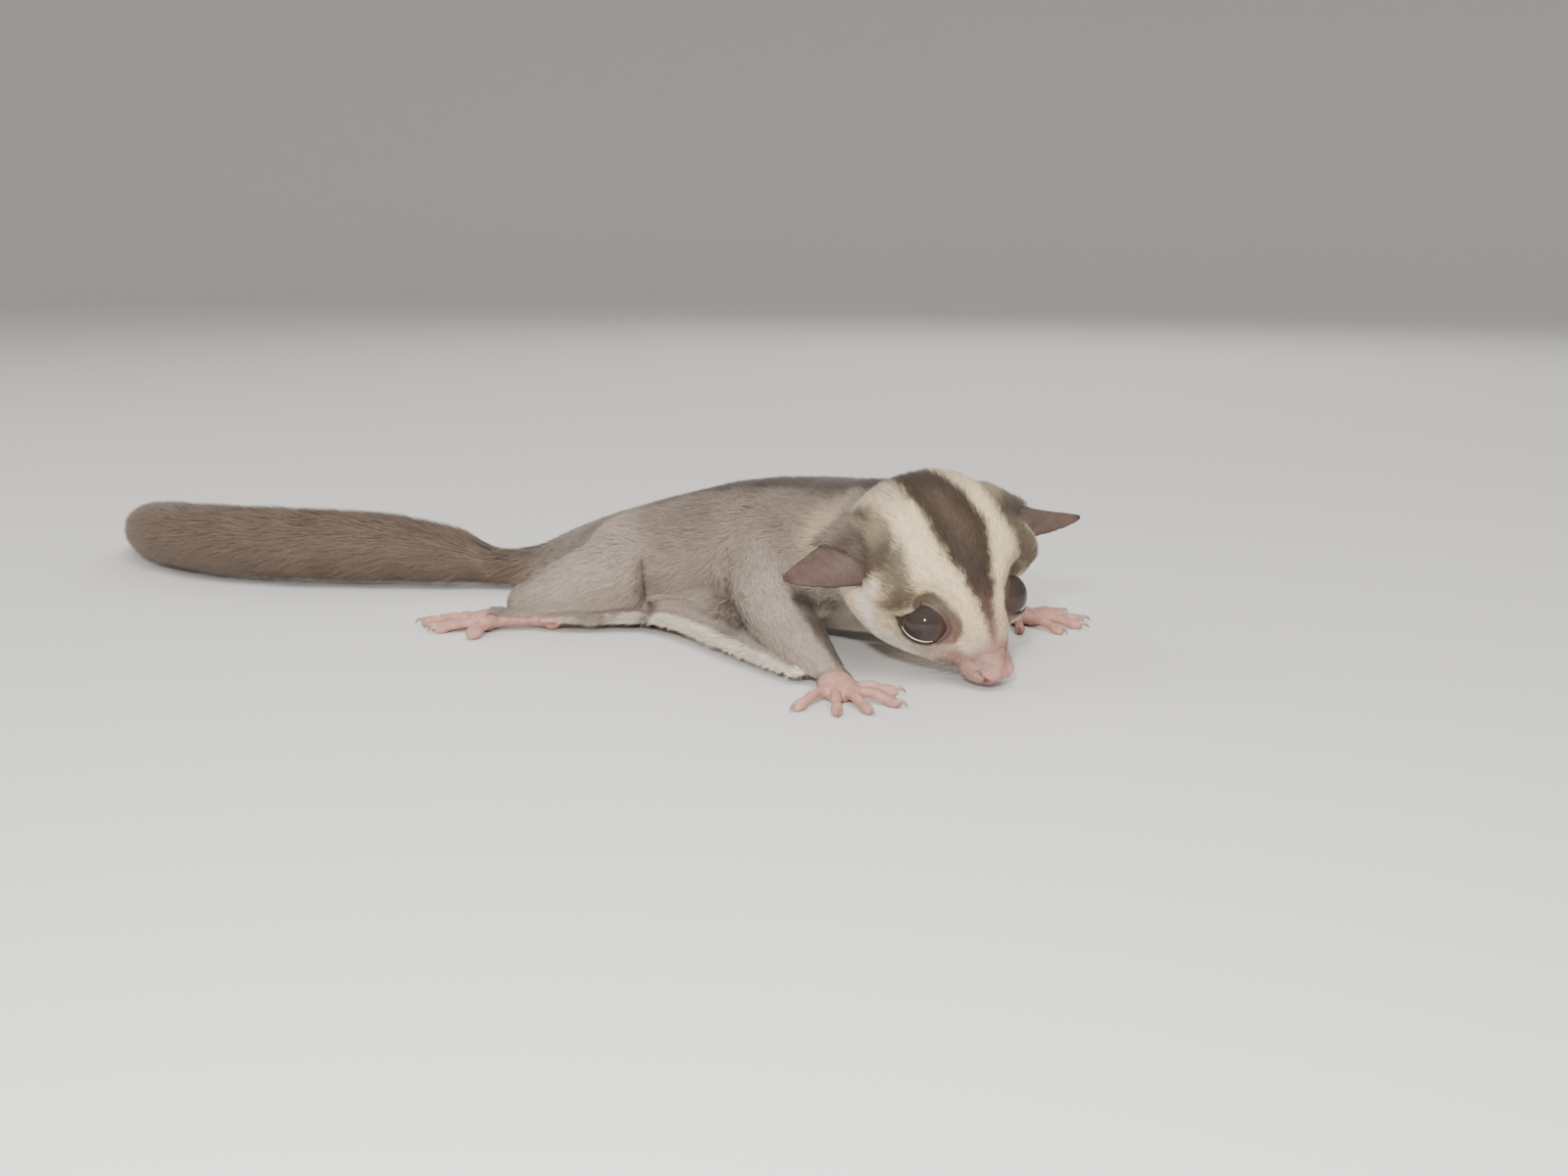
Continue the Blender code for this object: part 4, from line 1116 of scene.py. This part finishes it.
GREY, PALE_GREY = linear(118, 104, 91), linear(140, 125, 112)
TAN = linear(180, 163, 149)
TAIL_BROWN = linear(108, 92, 79)
CREAM = linear(224, 203, 166)
WHITE = linear(242, 231, 213)
DARK = linear(63, 50, 42)
PINK = linear(163, 122, 109)
PINK_SKIN = linear(168, 120, 107), linear(194, 150, 135)        # two tones each, mottled
EAR_SKIN = linear(78, 62, 55), linear(92, 76, 68)
EAR_RIM = linear(66, 51, 45)
LID, LID_EDGE, EYE_CORNER = linear(64, 49, 42), linear(112, 92, 83), linear(84, 52, 52)
# Painted shade: the dark red of the nostrils' pits; the nose pad's front takes a little of it as a darker tone.
NOSTRIL_SHADE = linear(104, 56, 52)
CLAW_ROOT, CLAW_TIP = linear(190, 168, 152), linear(112, 90, 78)
WHISKER_ROOT, WHISKER_TIP = linear(62, 50, 43), linear(168, 156, 145)
# The eye's own near-black, lightened as a painted reflection that makes up for its weak gloss.
EYE_DARK_WITH_SHEEN = linear(54, 47, 44)
EYE_BROWN = linear(62, 50, 44)
# Painted reflection: the tear line's pale colour stands in for the wet lid edge catching the light.
TEAR_GLINT = linear(214, 206, 202)
FLOOR = linear(222, 220, 216)


def fill(socket, value):
    """Gives an input a value, or another node's output."""
    if isinstance(value, bpy.types.NodeSocket):
        socket.id_data.links.new(value, socket)
    else:
        socket.default_value = value


def node(tree, sort, inputs=(), **settings):
    """Adds a node, sets its properties and fills its inputs."""
    made = tree.nodes.new("ShaderNode" + sort)
    for key, value in settings.items():
        setattr(made, key, value)
    for socket, value in dict(inputs).items():
        fill(made.inputs[socket], value)
    return made


def mixed(tree, share, a, b):
    """The output of a colour mix: a where share is 0, b where it is 1. A Mix node's colours are its
    inputs 6 and 7, and its output 2."""
    made = node(tree, "Mix", data_type="RGBA")
    for place, value in ((0, share), (6, a), (7, b)):
        fill(made.inputs[place], value)
    return made.outputs[2]


def scaled(tree, source, low, high, start=0.0, end=1.0):
    """A number mapped from start..end to low..high."""
    made = node(tree, "MapRange", {"Value": source, "From Min": start, "From Max": end, "To Min": low,
                                   "To Max": high})
    return made.outputs["Result"]


def attribute(tree, name):
    """A number stored on the mesh's points."""
    return node(tree, "Attribute", attribute_name=name).outputs["Fac"]


def layered(tree, colour, layers):
    """A colour with others laid over it in turn, each by the attribute of its name."""
    for name, over in layers.items():
        colour = mixed(tree, attribute(tree, name), colour, over)
    return colour


def noise(tree, size, detail=2.0):
    """Noise of about that grain in millimetres, on the object's own coordinates."""
    place = node(tree, "TexCoord").outputs["Object"]
    made = node(tree, "TexNoise", {"Vector": place, "Scale": 1000.0 / size, "Detail": detail, "Roughness": 0.5})
    return made.outputs["Fac"]


def wrinkles(tree):
    """The crackle of fine skin: distance to the edges of cells about 0.6 millimetres across."""
    place = node(tree, "TexCoord").outputs["Object"]
    made = node(tree, "TexVoronoi", {"Vector": place, "Scale": 1600.0}, feature="DISTANCE_TO_EDGE")
    return scaled(tree, made.outputs["Distance"], 0.0, 0.3, 0.0, 0.25)


def coat_colours():
    """The group both skin and coat take their markings from."""
    tree = bpy.data.node_groups.new("coat_colours", "ShaderNodeTree")
    tree.interface.new_socket("Colour", in_out="OUTPUT", socket_type="NodeSocketColor")
    colour = mixed(tree, scaled(tree, noise(tree, 7.0), 0, 1, 0.3, 0.7), GREY, PALE_GREY)
    colour = layered(tree, colour, {"tan": TAN, "tail": TAIL_BROWN, "cream": CREAM, "white": WHITE,
                                    "dark": DARK, "pink": PINK})
    ending = tree.nodes.new("NodeGroupOutput")
    tree.links.new(colour, ending.inputs["Colour"])
    return tree


def finish(name, **inputs):
    """A new material with its Principled shader, some of whose inputs are set: their names with _ for a
    space."""
    made = bpy.data.materials.new(name)
    made.use_nodes = True
    shader = made.node_tree.nodes["Principled BSDF"]
    for socket, value in inputs.items():
        shader.inputs[socket.replace("_", " ")].default_value = value
    return made, made.node_tree, shader


def grouped(tree, group):
    """The colour that a shader group puts out."""
    made = tree.nodes.new("ShaderNodeGroup")
    made.node_tree = group
    return made.outputs["Colour"]


def coat_finish(group):
    """Hair: a darker root, a pale band below the tip, and each hair a little lighter or darker than the
    next."""
    material, tree, shader = finish("fur", Roughness=0.62, Specular_IOR_Level=0.3, Sheen_Weight=0.12,
                                    Sheen_Roughness=0.5)
    colour = grouped(tree, group)
    along = attribute(tree, "along")
    root = scaled(tree, along, 0.55, 1.0, 0.0, 0.55)
    band = scaled(tree, along, 1.0, 1.2, 0.5, 0.95)
    shade = scaled(tree, attribute(tree, "shade"), 0.7, 1.3, -1.0, 1.0)
    value = node(tree, "Math", {0: root, 1: band}, operation="MULTIPLY").outputs[0]
    value = node(tree, "Math", {0: value, 1: shade}, operation="MULTIPLY").outputs[0]
    lit = node(tree, "VectorMath", {0: colour, "Scale": value}, operation="SCALE").outputs[0]
    tree.links.new(lit, shader.inputs["Base Color"])
    return material


def skin_finish(group):
    """Bare skin in pink and grey-brown, with fine wrinkles, and the coat's own colours, a little darker,
    beneath the hair. The ears are darker to their rims, the lids dark with a paler edge and a reddish
    front corner. The nostrils are painted dark red as painted shade in their pits, and the nose pad's
    front takes a little of that colour as a darker tone."""
    material, tree, shader = finish("skin", Roughness=0.5, Specular_IOR_Level=0.35, Subsurface_Weight=0.15,
                                    Subsurface_Radius=(0.0012, 0.0005, 0.0003))
    under = node(tree, "VectorMath", {0: grouped(tree, group), "Scale": 0.8}, operation="SCALE").outputs[0]
    mottle = scaled(tree, noise(tree, 1.6, 4.0), 0, 1, 0.3, 0.7)
    ear = layered(tree, mixed(tree, mottle, *EAR_SKIN), {"rim": EAR_RIM})
    bare = layered(tree, mixed(tree, mottle, *PINK_SKIN), {"ear": ear, "lid": LID, "edge": LID_EDGE,
                                                           "corner": EYE_CORNER, "pad_and_nostril_shade": NOSTRIL_SHADE})
    colour = layered(tree, under, {"bare": bare})
    tree.links.new(colour, shader.inputs["Base Color"])
    fine = node(tree, "Math", {0: noise(tree, 0.5, 3.0), 1: wrinkles(tree)}, operation="ADD").outputs[0]
    bump = node(tree, "Bump", {"Height": fine, "Strength": 0.26, "Distance": 0.0002})
    tree.links.new(bump.outputs["Normal"], shader.inputs["Normal"])
    return material


def eye_finish():
    """Wet black lifted to grey-brown by a painted reflection, a little browner to the rim, with the pale
    line of tears on the lower lid, its paleness a painted reflection.
    """
    material, tree, shader = finish("eye", Roughness=0.04, Specular_IOR_Level=0.3)
    colour = layered(tree, EYE_DARK_WITH_SHEEN, {"iris": EYE_BROWN, "tear_glint": TEAR_GLINT})
    tree.links.new(colour, shader.inputs["Base Color"])
    return material


def horn_finish(name, root, tip, roughness):
    """Claw or stiff hair: one colour at the root and another at the end."""
    material, tree, shader = finish(name, Roughness=roughness)
    tree.links.new(layered(tree, root, {"along": tip}), shader.inputs["Base Color"])
    return material


COLOURS = coat_colours()
MATERIALS = {"coat": coat_finish(COLOURS), "skin": skin_finish(COLOURS), "eye": eye_finish(),
             "claw": horn_finish("claw", CLAW_ROOT, CLAW_TIP, 0.3),
             "whisker": horn_finish("whisker", WHISKER_ROOT, WHISKER_TIP, 0.4)}


# ---- eyes, claws and whiskers --------------------------------------------------------------------------
def eyeball(side):
    """A sphere turned to the eye's axis, and a thin tube of tears along the lower lid, pale as a painted
    reflection. iris grows from 0 in the wide pupil to 1 at the rim."""
    sign = SIDES[side]
    axes = eye_axes(sign)
    centre = eye_middle(sign)
    points, triangles = ball(centre, (EYE_RADIUS, EYE_RADIUS, EYE_RADIUS), 72, axes)
    turn = np.radians(np.linspace(36, 146, 40))
    line = centre + on_eye(axes, turn, eye_opening(turn) - 0.045, EYE_RADIUS + 0.02)
    size = 0.11 * np.sin(np.linspace(0.15, math.pi - 0.15, 40)) ** 0.5
    tears = tube(np.column_stack((from_head(line), size, size)), 8)
    mesh = triangle_mesh(f"eyeball_{side}", joined([(from_head(points), triangles), tears]))
    iris = 1 - ease((points - centre) @ axes[2] / EYE_RADIUS, 0.6, 0.8)
    write(mesh, "iris", np.append(iris, np.zeros(len(tears[0]))))
    write(mesh, "tear_glint", np.append(0 * iris, np.ones(len(tears[0]))))
    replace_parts(put(f"eyeball_{side}", mesh, MATERIALS["eye"]), f"eye_{side}")


# Share of a claw's length, height over the digit's radius, and half size over the claw's.
CLAW = [(-0.25, 1.15, 1.1), (0.1, 1.4, 1.15), (0.45, 1.42, 0.95), (0.75, 1.12, 0.6), (0.98, 0.55, 0.12)]


def claws(paw):
    """A hooked, tapering claw on each digit but the foot's first toe."""
    shapes, along = [], []
    share, rise, size = smooth_line(CLAW, 4).T
    clawed = DIGITS[kind(paw)][1:] if kind(paw) == "foot" else DIGITS[kind(paw)]
    for forward, out, degrees, length, fullness in clawed:
        reach = 0.95 * length + share * CLAW_LENGTH
        rows = on_digit(forward, out, degrees, reach, rise * (FINGER_RADIUS * fullness),
                        size * CLAW_RADIUS * 0.8, size * CLAW_RADIUS)
        shapes.append(tube(np.hstack([from_paw(rows[:, :3], paw), rows[:, 3:]]), 10))
        along.append(np.append(np.repeat(share, 10), share[[0, -1]]))
    mesh = triangle_mesh(f"claws_{paw}", joined(shapes))
    write(mesh, "along", np.clip(np.hstack(along), 0, 1))
    put(f"claws_{paw}", mesh, MATERIALS["claw"])


def whiskers(side):
    """Rows of stiff hairs on the muzzle, and two on the cheek: tubes of four sides that taper, along the root
    + length * (way * t + bend * t^2)."""
    sign = SIDES[side]
    draw = np.random.default_rng(11 if side == "r" else 12)
    # Forward, aside, up, length.
    starts = np.array([(16.6 - 1.1 * k, 3.4 + 0.5 * k, -5.2 - 0.9 * row - 0.12 * k, 3.4 + 1.15 * k)
                       for row in range(4) for k in range(6)] + [(5.0, 9.5, -9.0, 9), (3.5, 10.5, -9.6, 8)])
    count = len(starts)
    roots = starts[:, :3] * (1, sign, 1)
    way = np.stack((-0.35 - 0.2 * draw.random(count), np.full(count, 0.75),
                    -0.95 + 0.35 * draw.normal(size=count)), -1)
    way = unit(way) * (1, sign, 1)
    bend = np.stack((-0.55 - 0.2 * draw.random(count), np.zeros(count), -0.18 - 0.2 * draw.random(count)), -1)
    t = np.linspace(0, 1, 9)[:, None]
    length = (starts[:, 3] * draw.uniform(0.8, 1.1, count))[:, None, None]
    line = from_head(roots[:, None] + length * (way[:, None] * t + bend[:, None] * t ** 2))
    up = line[..., 2]
    # Below 1.25 a whisker bends along the floor, which it comes no nearer than 0.25.
    line[..., 2] = np.where(up < 1.25, 0.25 + np.exp(up - 1.25), up)
    size = 0.045 * (1 - 0.8 * t[:, 0])
    shapes = [tube(np.column_stack((row, size, size)), 4) for row in line]
    mesh = triangle_mesh(f"whiskers_{side}", joined(shapes))
    write(mesh, "along", np.tile(np.append(np.repeat(t[:, 0], 4), (0, 1)), count))
    put(f"whiskers_{side}", mesh, MATERIALS["whisker"])


def skin():
    """The one skin that stands for all the flesh, and what the coat needs of it."""
    points, triangles = skin_shape()
    normals = normals_of(points, triangles)
    where = Places(points)
    mesh = triangle_mesh("skin", (points, triangles))
    rims = [np.maximum(ease(np.abs(turn), 0.78, 0.98), ease(share, 0.86, 0.97)) * on_ear(points, side)
            for side in SIDES for share, turn, _ in (ear_place(points, side),)]
    lids_near = [lid_place(where.head, sign) for sign in SIDES.values()]
    upper = [near(reach - 0.12, 0.16) * near(turn + 1.5, 1.3) for reach, turn in lids_near]
    corners = [near(turn, 0.42) * (1 - ease(reach, 0.9, 1.6)) for reach, turn in lids_near]
    # The nose pad's front a little darker; the nostrils painted dark red as painted shade in their pits.
    pad = 0.28 * ease(where.head[:, 0], 17.2, 18.2)
    masks = {"bare": bareness(where), "ear": on_ears(points), "rim": np.maximum(*rims),
             "lid": 1 - ease(np.minimum(*[reach for reach, _ in lids_near]), 0.8, 1.2),
             "edge": 0.8 * np.maximum(*upper), "corner": np.maximum(*corners),
             "pad_and_nostril_shade": np.clip(pad + 1.3 * nostrils(points), 0, 1)}
    for name, values in (markings(where, normals) | masks).items():
        write(mesh, name, values)
    piece = put("skin", mesh, MATERIALS["skin"])
    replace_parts(piece, *[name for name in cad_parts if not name.startswith("eye")])
    return (points, triangles), normals


# ---- floor, light and camera -----------------------------------------------------------------------------
def studio_floor():
    """A wide flat disc whose far rim sweeps up: height = 1.8 * ((r - 1.6) / 1.4)^2 beyond 1.6 metres."""
    radius = np.array((0.0005, 0.4, 0.8, 1.2, 1.6, 1.8, 2.0, 2.2, 2.4, 2.6, 2.8, 3.0))[:, None]
    height = 1.8 * (np.maximum(radius - 1.6, 0) / 1.4) ** 2
    a = 2 * math.pi * np.arange(96) / 96
    rings = np.stack((radius * np.cos(a), radius * np.sin(a), height + 0 * a), -1)
    index = np.arange(rings.shape[0] * 96).reshape(-1, 96)
    beside = np.roll(index, -1, axis=1)
    faces = np.stack((index[:-1], index[1:], beside[1:], beside[:-1]), -1).reshape(-1, 4)
    mesh = quick_mesh("studio_floor", rings.reshape(-1, 3), np.append(faces.ravel(), index[0]),
                      np.arange(0, faces.size + 1, 4))
    mesh.shade_smooth()
    mesh.materials.append(finish("floor_paper", Base_Color=FLOOR, Roughness=0.85)[0])
    made = linked("studio_floor", mesh)


def area_light(name, place, aim, size, power, mirrored=False):
    """A square soft light at a place in metres, turned to face another. Only a mirrored one shows in the
    eyes."""
    lamp = bpy.data.lights.new(name, "AREA")
    lamp.size = size
    lamp.energy = power
    made = linked(name, lamp)
    made.visible_glossy = mirrored
    made.location = place
    direction = made.location.copy()
    direction.x, direction.y, direction.z = (a - b for a, b in zip(aim, place))
    made.rotation_euler = direction.to_track_quat("-Z", "Y").to_euler()


def lights():
    """A soft key from above and in front, a small flash by the camera, and a pale room."""
    middle = (0.02, 0.0, 0.015)
    area_light("key", (0.15, -0.55, 0.75), middle, 0.6, 7.0)
    area_light("flash", (0.02, -0.40, 0.16), middle, 0.025, 1.6, mirrored=True)
    area_light("fill", (-0.7, -0.1, 0.5), middle, 0.6, 3.0)
    area_light("back", (0.25, 0.7, 0.6), middle, 0.6, 3.0)
    world = bpy.data.worlds.new("pale_room")
    world.use_nodes = True
    world.node_tree.nodes["Background"].inputs["Color"].default_value = (1.0, 0.975, 0.94, 1.0)
    world.node_tree.nodes["Background"].inputs["Strength"].default_value = 0.45
    bpy.context.scene.world = world


def camera():
    """As far off, as high and as steep as the animal was seen from."""
    lens = bpy.data.cameras.new("camera")
    lens.lens = 40.5
    lens.sensor_width = 36.0
    lens.clip_start = 0.01
    made = linked("camera", lens)
    made.location = (0.04757, -0.343863, 0.0755)
    made.rotation_euler = (math.pi / 2 - math.atan(370 / 1800), 0.0, 0.0)    # 370 in 1800 below the level
    bpy.context.scene.camera = made


body, body_normals = skin()
coat(body, body_normals)
for side in SIDES:
    eyeball(side)
    whiskers(side)
for paw in PAWS:
    claws(paw)
studio_floor()
lights()
camera()
